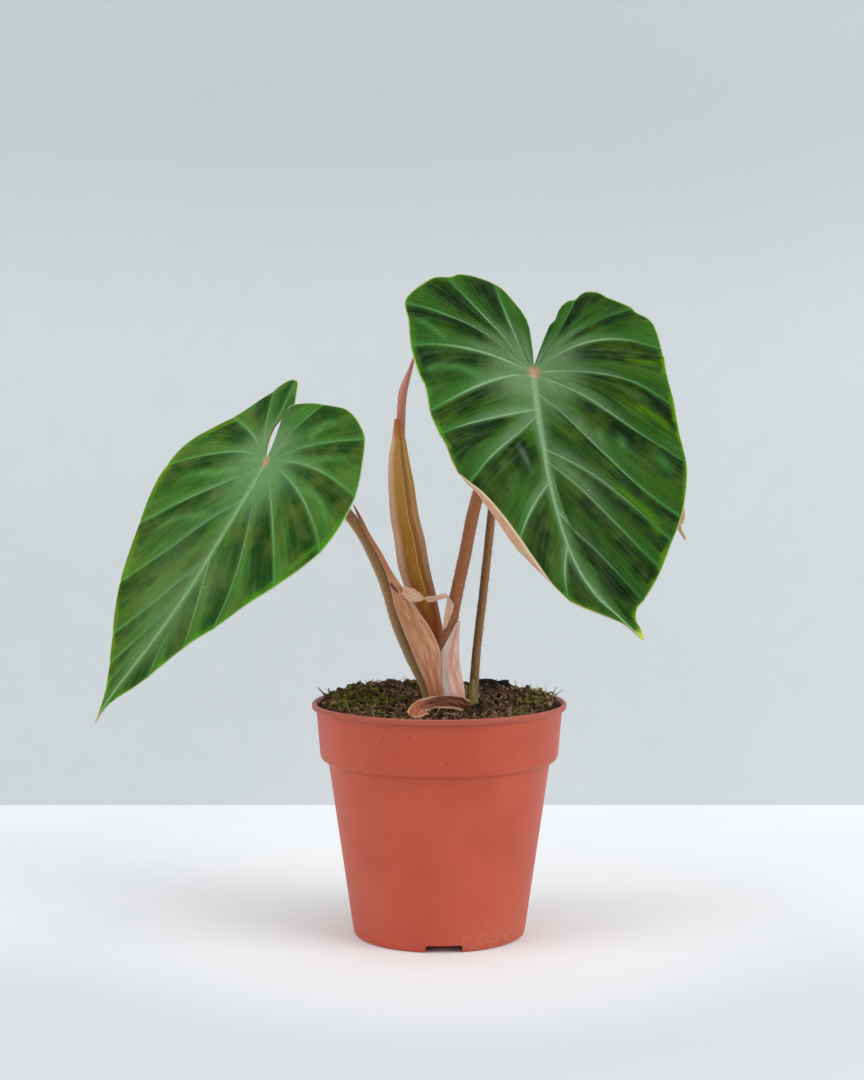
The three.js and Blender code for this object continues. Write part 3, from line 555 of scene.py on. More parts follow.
def lumps(x, y, size):
    # smooth hills and hollows without a grid
    x, y = x / size, y / size
    broad = np.sin(x * 2.1 + 1.7 * np.sin(y * 0.9)) * np.cos(y * 2.3 - 1.1 * np.sin(x))
    return broad + 0.6 * np.sin((x + y) * 3.3 + 2 * np.sin(y * 1.7))


def distanceTo(lines, flat):
    # how far each flat point is from the nearest of the drawn lines, and how far along that line it is
    farAway, parts = 50.0, 99
    nearest = np.full(flat.shape[:-1], farAway)
    along = np.zeros(flat.shape[:-1])
    for line in lines:
        spots = curveAt(line, np.linspace(0, len(line) - 1, parts + 1))[:, :2]
        for k, spot in enumerate(spots):
            far = np.hypot(flat[..., 0] - spot[0], flat[..., 1] - spot[1])
            closer = far < nearest
            nearest = np.where(closer, far, nearest)
            along = np.where(closer, k / parts, along)
    return nearest, along


def lineStrength(lines, flat, width):
    # 1 on a drawn line, fading to its sides and ends
    far, along = distanceTo(lines, flat)
    return np.exp(-(far / width) ** 2) * smooth(along, 0, 0.15) * (1 - smooth(along, 0.75, 1))


def leafMesh(name, leaf):
    size = leaf.get("scale", 1)
    halves = {side: halfOf(leaf, side) for side in (-1, 1)}
    t = np.linspace(0, 1, blade["columns"] + 1) ** blade["columnPower"]
    shareOut = t[None, :]
    length = leaf["right"]["outline"][-1][1]
    draft = Draft()
    for (side, half), places in zip(halves.items(), placesOf(halves.values())):
        drawn = half["drawn"]
        flat, spacing, f = flatHalf(leaf, half, places, t)
        out, down = flat[..., 0], flat[..., 1]
        point, normal = bentBlade(leaf, halves, side, out * size * leaf.get("narrow", 1), down * size)
        toEdge = np.linalg.norm(flat[:, -1:] - flat, axis=-1)
        if "inner" in drawn:
            toEdge = np.minimum(toEdge, distanceTo([flat[0, ::6]], flat)[0] + blade["innerEdge"])
        toVein = (0.5 - np.abs(f - 0.5)) * spacing
        beside = np.abs(out - side * midribAt(leaf, down))
        toMidrib = np.where(down < 0, np.hypot(out, down), beside)

        def byVein(width, loss):
            # 1 on a vein, less where it comes near the margin or close to its neighbours
            line = np.exp(-(toVein / width) ** 2) * (1 - loss * shareOut)
            return line * smooth(spacing, *blade["veinBySpacing"])
        swell = 1 - np.abs(2 * f - 1) ** 2
        quilt = np.minimum(blade["quiltMost"], blade["quilt"] * spacing) * swell * (1 - 0.85 * shareOut ** 3)
        quilt = quilt * smooth(toMidrib, *blade["quiltByMidrib"])
        lapped = smooth(-down, *blade["lapBelow"]) * (1 - smooth(np.abs(out), *blade["lapBeside"]))
        quilt = quilt + drawn.get("lift", 0) * lapped
        fade = smooth(toMidrib, *blade["puckerByMidrib"]) * smooth(toVein, *blade["puckerByVein"])
        fade = fade * smooth(toEdge, *blade["puckerByEdge"])
        quilt = quilt + blade["pucker"] * lumps(out, down, blade["puckerSize"]) * fade
        near = np.exp(-(toMidrib / blade["midribWidth"]) ** 2)
        middle = near * (1 - blade["midribLoss"] * np.clip(down / length, 0, 1))
        body = blade["thickness"] * (0.4 + 0.6 * smooth(toEdge, *blade["thickByEdge"]))
        groove = blade["groove"] * byVein(blade["grooveWidth"], blade["grooveLoss"]) * (1 - near)
        ridge = blade["ridge"] * byVein(blade["ridgeWidth"], blade["ridgeLoss"]) * (1 - near)
        upper = point + normal * (quilt + body / 2 - groove - blade["midribGroove"] * middle)[..., None]
        lower = point + normal * (quilt - body / 2 - ridge - blade["midribRidge"] * middle)[..., None]
        place = np.broadcast_to(places[:, None], out.shape) + (blade["leftPlaces"] if side < 0 else 0)
        lines = [
            lineStrength(drawn.get(kind, []), flat, blade[width])
            for kind, width in (("forks", "forkWidth"), ("forks", "forkGlow"), ("streaks", "streakWidth"))]
        data = np.stack([
            place, np.broadcast_to(shareOut, out.shape), spacing, side * out, down, toEdge,
            toMidrib, down / length, np.full(out.shape, side), *lines], -1)
        draft.grid(upper, data, 0)
        draft.grid(lower, data, 1)
        draft.grid(np.stack([upper[:, -1], lower[:, -1]], 1), np.stack([data[:, -1]] * 2, 1))
        if "inner" in drawn:
            draft.grid(np.stack([upper[0], lower[0]], 0), np.stack([data[0]] * 2, 0))
    return draft.mesh(name, ("growth", "ground", "rib", "lines"), 60)


# The look of a blade: dark green between the veins, with painted shade just behind each vein and a painted
# sheen, a pale band, before the next one.
# The veins are thin and pale, and turn green on their way to the margin, where yellower streaks lie.
leafLooks = {
    "right": {
        "dark": tone(4, 32, 0), "middle": tone(50, 96, 20), "olive": tone(66, 94, 16),
        "halo": tone(118, 152, 108), "farHalo": tone(62, 114, 50), "vein": tone(146, 184, 132),
        "farVein": tone(84, 144, 72), "streakRight": tone(92, 144, 4), "streakLeft": tone(84, 148, 30),
        "edge": tone(190, 208, 136), "midrib": tone(142, 174, 132), "spot": tone(200, 146, 120),
        "tip": tone(204, 212, 84), "glow": (2.6, 10.0), "sage": 32, "veinShare": 0.95, "contrast": 1.0,
        "sheenPatch": (16.3, 43.0), "rim": 4.0, "margin": tone(226, 182, 150), "lower": 0.06,
    },
    "left": {
        "dark": tone(16, 60, 2), "middle": tone(70, 122, 38), "olive": tone(96, 110, 38),
        "halo": tone(118, 156, 106), "farHalo": tone(84, 140, 66), "vein": tone(136, 180, 124),
        "farVein": tone(104, 160, 84), "streakRight": tone(76, 146, 16), "streakLeft": tone(112, 156, 10),
        "edge": tone(190, 208, 136), "midrib": tone(138, 174, 122), "spot": tone(190, 154, 112),
        "tip": tone(208, 172, 136), "glow": (2.0, 6.0), "sage": 42, "veinShare": 0.72, "contrast": 1.1,
        "sheenPatch": None, "rim": 5.0, "margin": tone(196, 210, 142), "lower": 0.5,
    },
}


def velvetMaterial(name, look):
    shader = Shader(name)
    place, share, spacing = shader.split(shader.attribute("growth"))
    across, along, toEdge = shader.split(shader.attribute("ground"))
    toMidrib, down, side = shader.split(shader.attribute("rib"))
    forkLine, forkGlow, streak = shader.split(shader.attribute("lines"))
    flat = shader.joined(across, along, side * 40)

    def reach(vector):
        return shader.wire("ShaderNodeVectorMath", {"operation": "LENGTH"}, {0: vector}, "Value")
    # patches that run along the veins, and smaller ones without a direction
    drawn = shader.grain(shader.joined(place * 3.1, share * 2.6, side * 9), 1.0, 3, 0.55, 0.3)
    blotch = shader.grain(flat, 7, 3)
    fine = shader.grain(flat, 1.3, 4, 0.6)
    nap = shader.grain(flat, 0.3, 2)
    f = place.calc("FRACT")
    behind, before = f * spacing, (1 - f) * spacing
    toVein = behind.calc("MINIMUM", before)
    parted = shader.ease(spacing, 1.2, 6)
    # painted shade, darkest just behind each vein
    shadow = (1 - shader.ease(f, 0.2, 0.8)) * shader.ease(share, 0.12, 0.4) * shader.ease(spacing, 3, 9)
    depth = shader.ease(drawn * 0.75 + fine * 0.2 - shadow * (0.26 * look["contrast"]), 0.2, 0.6)
    shader.colour = shader.mixed(depth, look["dark"], look["middle"])
    shader.coat(shader.ease(shader.grain(flat, 12, 2), 0.4, 0.72) * 0.5, look["olive"])
    inward = shader.ease(down, 0.15, 0.6) * shader.ease(share, 0.95, 0.45) * look["lower"]
    shader.coat(inward, tone(106, 138, 80))
    thread = shader.grain(shader.joined(place * 13, share * 2.4, side * 9), 1.0, 2)
    shader.coat(shader.ease(thread, 0.35, 0.8) * 0.16, look["halo"])
    outer = shader.ease(share + (blotch - 0.5) * 0.3, 0.3, 0.75)
    haloTone = shader.mixed(outer, look["halo"], look["farHalo"])
    # painted sheen on the slopes of the bulges: a narrow pale band behind each vein and a wide one before the
    # next
    short, long = look["glow"]
    after = (1 - shader.ease(behind / short, 0.0, 1.0)) * (0.7 - 0.5 * share)
    ahead = 1 - shader.ease(before / (long * (1.1 - 0.7 * share)), 0.0, 1.0)
    glow = after.calc("MAXIMUM", ahead ** 1.6) * (0.3 + 0.95 * blotch)
    nearRib = (1 - shader.ease(toMidrib + (blotch - 0.5) * 4, 0.5, 7.0)) * (1 - 0.6 * down)
    fromStalk = reach(shader.joined(across, along))
    sage = (1 - shader.ease(fromStalk + (blotch - 0.5) * 14, 3, look["sage"])) * 0.85
    glow = glow.calc("MAXIMUM", nearRib * 0.75).calc("MAXIMUM", sage)
    shader.coat(glow * 0.92, haloTone)
    # brighter towards the margin in places, with yellower streaks
    streakTone = shader.mixed(shader.ease(side, -0.5, 0.5), look["streakLeft"], look["streakRight"])
    patch = shader.ease(shader.grain(flat, 16, 1), 0.4, 0.62, 0.15, 0.9)
    rim = (1 - shader.ease(toEdge + (blotch - 0.5) * 8, 0.2, look["rim"])) * patch
    rim = rim * shader.ease(along, -20, 6, 0.3, 1.0)
    shader.coat(rim.calc("MAXIMUM", streak * 0.6), streakTone)
    # side veins
    shader.coat(forkGlow * (0.3 * look["veinShare"]), haloTone)
    shader.coat(forkLine * (0.6 * look["veinShare"]), look["farVein"])
    soft = (1 - shader.ease(toVein, 0.1, 1.8)) * parted
    shader.coat(soft * 0.4, haloTone)
    veinTone = shader.mixed(shader.ease(share, 0.45, 0.95), look["vein"], look["farVein"])
    fading = 1 - 0.55 * shader.ease(share, 0.55, 1.0) - 0.3 * (1 - shader.ease(share, 0.05, 0.2))
    line = (1 - shader.ease(toVein, 0.0, 0.72)) * parted * fading * look["veinShare"]
    shader.coat(line, veinTone)
    ribLine = 1 - shader.ease(toMidrib + (fine - 0.5) * 0.5, 0.2, 2.7 - 2.0 * down)
    shader.coat(ribLine * 0.85 * shader.ease(along, -1.5, 0.5), look["midrib"])
    # a painted sheen: a soft greyish patch low on the blade
    if look["sheenPatch"]:
        right, low = look["sheenPatch"]
        sheenPatch = 1 - shader.ease(reach(shader.joined((across + right) * 0.45, (along - low) * 0.13)), 0.2, 1.3)
        shader.coat(sheenPatch * 0.3, tone(124, 140, 118))
    spot = 1 - shader.ease(fromStalk + (blotch - 0.5) * 2.5 - soft * 0.9, 0.4, 4.2)
    shader.coat(spot * 0.9, look["spot"])
    pink = shader.ease(along, 26, 42) * (1 - shader.ease(side, -0.5, 0.5))
    edge = shader.mixed(pink, look["edge"], look["margin"])
    shader.coat((1 - shader.ease(toEdge + (fine - 0.5) * 0.4, 0.2, 0.8)) * 0.75, edge)
    shader.coat(shader.ease(down, 0.945, 0.985), look["tip"])
    crumb = 1 - shader.ease(shader.cells(flat, 19), 0.012, 0.024)
    shader.coat(crumb * 0.8, tone(226, 230, 220))
    shader.coat(shader.ease(fine * 0.6 + nap * 0.4, 0.48, 0.66) * 0.28, look["dark"])
    return shader.finish(shader.surface(0.68 + 0.12 * fine, fine * 0.5 + nap * 0.4, 0.2, 0.55, 0.07))


def undersideMaterial(name):
    shader = Shader(name)
    place, _, spacing = shader.split(shader.attribute("growth"))
    across, along, toEdge = shader.split(shader.attribute("ground"))
    toMidrib, _, side = shader.split(shader.attribute("rib"))
    flat = shader.joined(across, along, side * 40)
    blotch = shader.grain(flat, 8, 3)
    fine = shader.grain(flat, 1.2, 4)
    toVein = (0.5 - abs(place.calc("FRACT") - 0.5)) * spacing
    vein = (1 - shader.ease(toVein, 0.5, 1.6)) * shader.ease(spacing, 1, 5)
    vein = vein.calc("MAXIMUM", 1 - shader.ease(toMidrib, 0.9, 2.2))
    shader.colour = shader.mixed(shader.ease(blotch, 0.2, 0.8), tone(190, 136, 104), tone(208, 164, 128))
    shader.coat(vein * 0.85, tone(178, 176, 116))
    shader.coat(1 - shader.ease(toEdge, 0.4, 1.4), tone(232, 214, 166))
    shader.coat(fine * 0.3, tone(218, 178, 146))
    sheen = {"Sheen Weight": 0.15, "Sheen Roughness": 0.5}
    return shader.finish(shader.surface(0.52 + 0.15 * fine, fine, 0.25, 0.6, 0.4, sheen))


def buildLeaves():
    underside = undersideMaterial("leafUnderside")
    leaves = {"right": (rightLeaf, "right"), "left": (leftLeaf, "left"), "back": (backLeaf, "right")}
    for name, (leaf, look) in leaves.items():
        material = velvetMaterial("velvet_" + name, leafLooks[look])
        mesh = leafMesh("blade_" + name, leaf)
        addPiece("blade_" + name, mesh, [material, underside], "velvet_leaf", "leaf_" + name)


# Stems: round tubes along a curve
def framesAlong(line, steps):
    place = np.linspace(0, len(line) - 1, steps + 1)
    centre = curveAt(line, place)
    forward = unit(np.gradient(centre, axis=0))
    side = np.zeros_like(forward)
    last = np.array([1.0, 0.0, 0.0])
    for k, direction in enumerate(forward):
        last = unit(last - direction * (last @ direction))
        side[k] = last
    return place, centre, side, np.cross(forward, side)


def capped(rings, data):
    # both ends closed round a point in their middle
    first, last = (np.broadcast_to(ring[:-1].mean(0), ring.shape)[None] for ring in (rings[0], rings[-1]))
    return np.concatenate([first, rings, last]), np.concatenate([data[:1], data, data[-1:]])


def tubeGrid(line, radii, sides, steps, shape=None):
    # shape(angle, along share, radius) gives the radius of each point, where a stem isn't round
    place, centre, side, other = framesAlong(line, steps)
    angle = np.linspace(0, 2 * np.pi, sides + 1)[None, :]
    radius = valuesAt(radii, place * (len(radii) - 1) / (len(line) - 1))[:, None]
    share = (place / (len(line) - 1))[:, None]
    reach = shape(angle, share, radius) if shape else np.broadcast_to(radius, (len(place), sides + 1))
    outward = side[:, None] * np.cos(angle)[..., None] + other[:, None] * np.sin(angle)[..., None]
    rings = centre[:, None] + outward * reach[..., None]
    run = runAlong(centre)[:, None]
    data = np.stack(np.broadcast_arrays(angle / (2 * np.pi), run, share), -1)
    return capped(rings, data)


def bladeUnderside(leaf):
    # where a petiole meets its blade
    at = curveAt(leaf["spine"], leaf["attachAt"])
    forward = unit(curveAt(leaf["spine"], leaf["attachAt"] + 0.001) - at)
    up = np.array(leaf["face"][0], float)
    up = unit(up - forward * (up @ forward))
    return tuple(at - up * stalk["underBlade"])


stalk = {"sides": 28, "steps": 150, "channel": 0.07, "swell": 0.12, "underBlade": 1.5}
petioles = {
    "right": {
        "leaf": rightLeaf,
        "line": [
            (7, -13, 106), (5, -12, 122), (4, -11, 136), (6, -10, 151), (12, -7, 180), (18, -3, 207),
            (28, 0, 233), (37, -3, 250), (42, -13, 259)],
        "radii": [3.2, 3, 3, 3, 2.9, 2.9, 2.7, 2.5, 2.2, 1.7], "slot": "pink_petiole",
        "light": tone(190, 126, 80), "body": tone(156, 94, 54), "foot": tone(188, 136, 104),
        "top": tone(182, 122, 84), "shade": tone(134, 76, 40), "litSide": (-0.8, 0.35),
    },
    "left": {
        "leaf": leftLeaf,
        "line": [
            (-2, -12, 106), (-7, -11, 120), (-13, -10, 132), (-19, -9, 146), (-26, -6, 168), (-36, -2, 189),
            (-48, 0, 204), (-61, -7, 214), (-70, -19.5, 220)],
        "radii": [3, 2.8, 2.7, 2.7, 2.6, 2.6, 2.5, 2.3, 2, 1.6], "slot": "olive_petiole",
        "light": tone(184, 146, 96), "body": tone(142, 108, 64), "foot": tone(126, 104, 50),
        "top": tone(202, 168, 122), "shade": tone(104, 76, 40), "litSide": (-1.0, 0.8),
    },
    "back": {
        "leaf": backLeaf,
        "line": [
            (15.3, -11, 104), (16, -9, 116), (17.7, -4, 136), (19.3, 0, 149), (21.5, 5, 167),
            (25.2, 14, 200), (28.4, 22, 226), (32, 30, 245)],
        "radii": [2.6, 2.2, 2, 2, 2, 2, 1.9, 1.8, 1.6], "slot": "olive_petiole",
        "light": tone(160, 116, 60), "body": tone(116, 82, 38), "foot": tone(84, 86, 18),
        "top": tone(146, 110, 76), "shade": tone(88, 62, 26), "litSide": (1.0, 0.6),
    },
}


def petioleMaterial(name, look):
    shader = Shader(name)
    around, run, share = shader.split(shader.attribute("stem"))
    spot = shader.place()
    turn = around * 6.283
    rolledUp = shader.joined(turn.calc("SINE") * 2.6, turn.calc("COSINE") * 2.6, run * 0.045)
    streak = shader.grain(rolledUp, 0.9, 3)
    mottle = shader.grain(spot, 2.2, 4, 0.6)
    wart = shader.cells(spot, 0.85)
    shader.colour = shader.mixed(streak * 1.2 - 0.1, look["body"], look["light"])
    shader.coat(shader.ease(mottle, 0.5, 0.75) * 0.35, look["top"])
    shader.coat(1 - shader.ease(run + (mottle - 0.5) * 16, 4, 30), look["foot"])
    shader.coat(shader.ease(share, 0.86, 0.97) * 0.7, look["top"])
    # one flank painted lighter and the other darker: painted light and painted shade as from the side lamps
    flank, _, _ = shader.split(shader.attribute("flank"))
    way, share = look["litSide"]
    lit = flank * way
    shader.coat(shader.ease(lit, 0.1, 0.85) * share, look["top"])
    shader.coat(shader.ease(lit, 0.2, -0.8) * share, look["shade"])
    pale = (1 - shader.ease(wart, 0.14, 0.34)) * shader.ease(mottle, 0.44, 0.62)
    shader.coat(pale * 0.5, tone(214, 176, 156))
    height = (1 - shader.ease(wart, 0.1, 0.5)) * 0.6 + mottle * 0.5 + streak * 0.6
    return shader.finish(shader.surface(0.5 + 0.2 * mottle, height, 0.35, 0.8, 0.4))


def buildPetioles():
    def section(angle, share, radius):
        # a shallow channel along one side, and a swelling under the blade
        channel = 1 - stalk["channel"] * np.cos(angle / 2 - 0.6) ** 12
        swollen = 1 + stalk["swell"] * smooth(share, 0.9, 0.96) * (1 - smooth(share, 0.985, 1.0))
        wave = 1 + 0.02 * np.sin(share * 47 + angle) + 0.015 * np.sin(share * 90 - 2 * angle)
        return radius * channel * swollen * wave
    made = {}
    for name, look in petioles.items():
        line = look["line"] + [bladeUnderside(look["leaf"])]
        draft = Draft()
        rings, data = tubeGrid(line, look["radii"], stalk["sides"], stalk["steps"], section)
        flank = (rings - rings[:, :-1].mean(1, keepdims=True)) / max(look["radii"])
        draft.grid(rings, np.concatenate([data, flank], -1))
        mesh = draft.mesh("stalk_" + name, ("stem", "flank"), 60)
        made[name] = addPiece(
            "stalk_" + name, mesh, [petioleMaterial("stalk_" + name, look)], look["slot"], "petiole_" + name)
    return made


# The new leaf: an amber sheath with a keel on each side, and the rolled blade that comes out behind its point
amberSheath = {
    "line": [
        (3, -8, 105), (1, -5, 114), (-1, -4, 128), (-3, -3, 141), (-7, -3, 156), (-9, -2, 163),
        (-12, -2, 174), (-14, -2, 187), (-16, -1, 196), (-18, -1, 214), (-19, 0, 226), (-19, 0, 233),
        (-20, 0, 243)],
    "halfWidths": [2.4, 2.8, 3.6, 4.4, 5.4, 5.8, 6.2, 6, 5.7, 5, 3.8, 2.8, 0.8],
    "halfDepths": [2.2, 2.4, 3.2, 3.6, 4, 4.2, 4.4, 4.2, 4, 3.4, 2.8, 2.1, 0.7],
    "keel": 0.2, "sides": 64, "steps": 170,
}
spear = {
    "line": [
        (-17, 4, 214), (-18, 4.5, 226), (-18, 4, 240), (-17, 3, 255), (-15, 3, 262), (-13, 3, 268),
        (-11, 3, 275)],
    "radii": [2, 2.1, 2.1, 2, 1.6, 1.2, 0.35], "sides": 32, "steps": 90, "turns": 0.8, "lap": 0.16,
}


def amberMaterial():
    shader = Shader("amberSheath")
    across, share, front = shader.split(shader.attribute("sheath"))
    spot = shader.place()
    _, _, z = shader.split(spot)
    fibre = shader.grain(shader.scaled(spot, (1, 1, 0.04)), 0.55, 4, 0.6)
    broad = shader.grain(shader.scaled(spot, (1, 1, 0.12)), 2.6, 3)
    shader.colour = shader.mixed(broad, tone(146, 94, 10), tone(182, 126, 24))
    shader.coat(shader.ease(fibre, 0.48, 0.7) * 0.55, tone(200, 152, 68))
    shader.coat(shader.ease(share, 0.5, 0.8) * 0.45, tone(222, 180, 104))
    # pale keel on the left, a thin greyer one on the right
    left = 1 - shader.ease(across + (broad - 0.5) * 0.12, -0.92, -0.42)
    shader.coat(left * 0.85, tone(240, 200, 168))
    right = shader.ease(across, 0.84, 0.94) * (1 - shader.ease(share, 0.6, 0.75))
    shader.coat(right * 0.8, tone(190, 146, 118))
    ridge = (1 - shader.ease(abs(across - 0.82), 0.0, 0.05)) * shader.ease(share, 0.25, 0.4)
    shader.coat(ridge * 0.6, tone(226, 186, 148))
    seam = across - (0.12 + 0.5 * (1 - share))
    pale = (1 - shader.ease(abs(seam), 0.0, 0.075)) * front * shader.ease(share, 0.3, 0.4)
    shade = shader.ease(seam, 0.02, 0.12) * (1 - shader.ease(seam, 0.2, 0.6)) * front
    shader.coat(shade * 0.5, tone(104, 58, 18))
    shader.coat(pale * 0.75, tone(214, 168, 104))
    shader.coat(1 - shader.ease(z + (fibre - 0.5) * 12, 140, 168), tone(168, 88, 38))
    shader.coat(1 - shader.ease(z + (fibre - 0.5) * 8, 128, 142), tone(120, 112, 26))
    shader.coat(shader.ease(share, 0.9, 0.98), tone(190, 112, 52))
    height = fibre + broad * 0.4 - pale * 0.6
    return shader.finish(shader.surface(0.42 + 0.2 * broad, height, 0.3, 0.7, 0.35))


def spearMaterial():
    shader = Shader("rolledBlade")
    around, run, share = shader.split(shader.attribute("stem"))
    spot = shader.place()
    fibre = shader.grain(shader.scaled(spot, (1, 1, 0.08)), 0.5, 4, 0.6)
    lap = abs((around + run * 0.012).calc("FRACT") - 0.5)
    shader.colour = shader.mixed(fibre, tone(176, 104, 84), tone(214, 158, 138))
    shader.coat(shader.ease(fibre, 0.55, 0.7) * 0.6, tone(128, 58, 48))
    shader.coat((1 - shader.ease(lap, 0.0, 0.05)) * 0.6, tone(226, 180, 160))
    shader.coat(shader.ease(share, 0.55, 1.0) * 0.55, tone(150, 72, 54))
    return shader.finish(shader.surface(0.45 + 0.15 * fibre, fibre, 0.3, 0.8))


def buildNewLeaf():
    look = amberSheath
    place = np.linspace(0, len(look["line"]) - 1, look["steps"] + 1)
    centre = curveAt(look["line"], place)[:, None]
    angle = np.linspace(0, 2 * np.pi, look["sides"] + 1)[None, :]
    ridge = 1 + look["keel"] * np.abs(np.cos(angle)) ** 14
    share = (place / place[-1])[:, None]
    seam = np.cos(angle) - (0.12 + 0.5 * (1 - share))
    lapOver = np.where(np.sin(angle) < 0, smooth(-seam, -0.02, 0.05), 0) * 0.35 * smooth(share, 0.2, 0.4)
    x = valuesAt(look["halfWidths"], place)[:, None] * ridge * np.cos(angle)
    y = (valuesAt(look["halfDepths"], place)[:, None] + lapOver) * np.sin(angle)
    rings = centre + np.stack(np.broadcast_arrays(x, y, 0 * x), -1)
    data = np.stack(np.broadcast_arrays(np.cos(angle), share, (np.sin(angle) < 0) * 1.0), -1)
    draft = Draft()
    draft.grid(*capped(rings, data))
    addPiece("newLeafSheath", draft.mesh("newLeafSheath", ("sheath",), 60), [amberMaterial()], "amber_sheath",
             "new_leaf_sheath")

    def rolled(angle, share, radius):
        lap = 1 + spear["lap"] * ((angle / (2 * np.pi) + spear["turns"] * share) % 1 - 0.5)
        return radius * lap * (1 - 0.35 * np.cos(angle) ** 2 * smooth(share, 0.5, 1))
    draft = Draft()
    draft.grid(*tubeGrid(spear["line"], spear["radii"], spear["sides"], spear["steps"], rolled))
    addPiece("newLeafSpear", draft.mesh("newLeafSpear", ("stem",), 60), [spearMaterial()], "pink_sheath",
             "new_leaf_spear")


# Withered sheaths: thin strips. A row is the strip's middle, half its width as a vector, and its bulge.
withered = {
    "sheath_left": {
        "slot": "pink_sheath", "out": (-0.25, -0.95, 0.1), "thickness": 0.45, "folds": (0.35, 3.5, 0.05),
        "rows": [
            ((-1, -18, 112), (2.5, 0, 0.6), 1), ((-2.6, -18, 121), (3.6, 0, 1), 1.4),
            ((-4, -17, 128), (4.8, 0, 1.2), 1.8), ((-6, -16, 136), (6, 0, 1.6), 2),
            ((-9.8, -15, 144), (5.8, 0, 1.8), 2), ((-14.3, -14, 152), (4.5, 0, 1.8), 1.6),
            ((-17.6, -13, 159), (3.6, 0, 1.5), 1), ((-20.3, -12, 165), (2.4, 0, 1), 0.6),
            ((-24, -11, 173), (1.1, 0, 0.6), 0.2), ((-28, -9.5, 181), (0.9, 0, 0.5), 0.2),
            ((-33, -7.5, 189), (0.8, 0, 0.4), 0.2), ((-37, -6, 197), (0.7, 0, 0.35), 0.2),
            ((-40, -5.5, 203), (0.2, 0, 0.1), 0)],
        "pale": tone(234, 182, 142), "body": tone(208, 138, 94), "dark": tone(164, 90, 60),
        "tip": tone(150, 92, 66), "edge": tone(232, 190, 170), "slit": (-21.0, 164.7),
    },
    "ribbon": {
        "slot": "pink_sheath", "out": (0, -1, 0.3), "thickness": 0.35, "folds": (0.25, 2.5, 0.3),
        "rows": [
            ((-17, -16, 164), (0.6, 0, 1.8), 0.2), ((-13, -17.5, 162), (0.6, 0.6, 2.8), 0.5),
            ((-9, -18, 160.5), (0.4, 1.8, 1.6), 0.3), ((-5, -18.5, 160), (0.2, 1.6, -1.4), 0.3),
            ((-1, -18.5, 160.5), (0.2, 0.6, -1.2), 0.4), ((3, -17, 161.5), (0.2, 0.4, -1.1), 0.3),
            ((5, -15.6, 159.5), (1.2, 0.4, -1.2), 0.3), ((4.6, -14, 155), (1.7, 0.4, -0.4), 0.3),
            ((3.4, -13.5, 150), (1.3, 0.2, 0), 0.2), ((2.4, -13.8, 146), (0.7, 0.1, 0), 0.1)],
        "pale": tone(252, 216, 190), "body": tone(238, 184, 150), "dark": tone(196, 126, 96),
        "tip": tone(240, 198, 168), "edge": tone(252, 224, 202),
    },
    "sheath_front": {
        "slot": "pink_sheath", "out": (0, -1, 0), "thickness": 0.4, "folds": (0.35, 4.5, 0.04),
        "rows": [
            ((6.5, -13, 110), (6, 0, 0), 5.6), ((6, -13, 117), (5.8, 0, 0), 5.4),
            ((5.2, -12.5, 123), (5.4, 0, 0), 5), ((4.6, -12, 129), (5, 0, 0.6), 4.6),
            ((4.8, -11.5, 135), (4.4, 0, 1), 4.4), ((6.6, -11.5, 142), (2.6, 0, 1), 3.9),
            ((8.8, -11.2, 149), (0.8, 0, 0.4), 3.5)],
        "pale": tone(250, 214, 198), "body": tone(226, 160, 132), "dark": tone(184, 100, 76),
        "tip": tone(236, 192, 172), "edge": tone(250, 230, 218), "leftPaintedLight": 0.9,
    },
    # dry_curl: its dark tones are its own dry brown with painted shade in them, and its pale edges are partly
    # a painted highlight
    "dry_curl": {
        "slot": "dry_sheath", "out": (0, -0.7, 0.7), "thickness": 0.4, "folds": (0.45, 3, 0.12),
        "rows": [
            ((13, -22, 110.5), (1.4, 1.6, 2), 0.6), ((8, -27, 113), (1.6, 1.8, 2.6), 0.8),
            ((1, -30, 114), (0.6, 2, 2.8), 0.8), ((-5, -33, 113.3), (-0.2, 2, 2.6), 0.8),
            ((-10, -36.5, 111.9), (-1.6, 1.4, 2.2), 0.6), ((-12, -40, 109.8), (-2.4, 0.4, 0.6), 0.4),
            ((-9.5, -43, 109.2), (-0.8, -2.4, -0.4), 0.3), ((-6, -42, 111.2), (1, -1.6, -0.6), 0.2)],
        "pale": tone(142, 84, 60), "body": tone(92, 46, 34), "dark": tone(46, 20, 17),
        "tip": tone(206, 130, 92), "edge": tone(232, 184, 148), "tipFrom": 0.48, "edgeFrom": 0.7,
    },
    "bract": {
        "slot": "olive_petiole", "out": (0, -1, 0.1), "thickness": 0.4, "folds": (0.15, 3, 0.05),
        "rows": [
            ((16, -14.2, 109), (2.4, 0, 0), 1.8), ((15.9, -13.6, 113), (2, 0, 0), 1.6),
            ((15.6, -12.8, 118), (1.3, 0, 0), 1.2), ((15.9, -12.2, 122), (0.5, 0, 0), 1.1)],
        "pale": tone(150, 134, 70), "body": tone(116, 96, 44), "dark": tone(82, 58, 30),
        "tip": tone(156, 120, 74), "edge": tone(176, 140, 96),
    },
}
stripDetail = {"perRow": 12, "columns": 26, "edgeLean": 0.05}


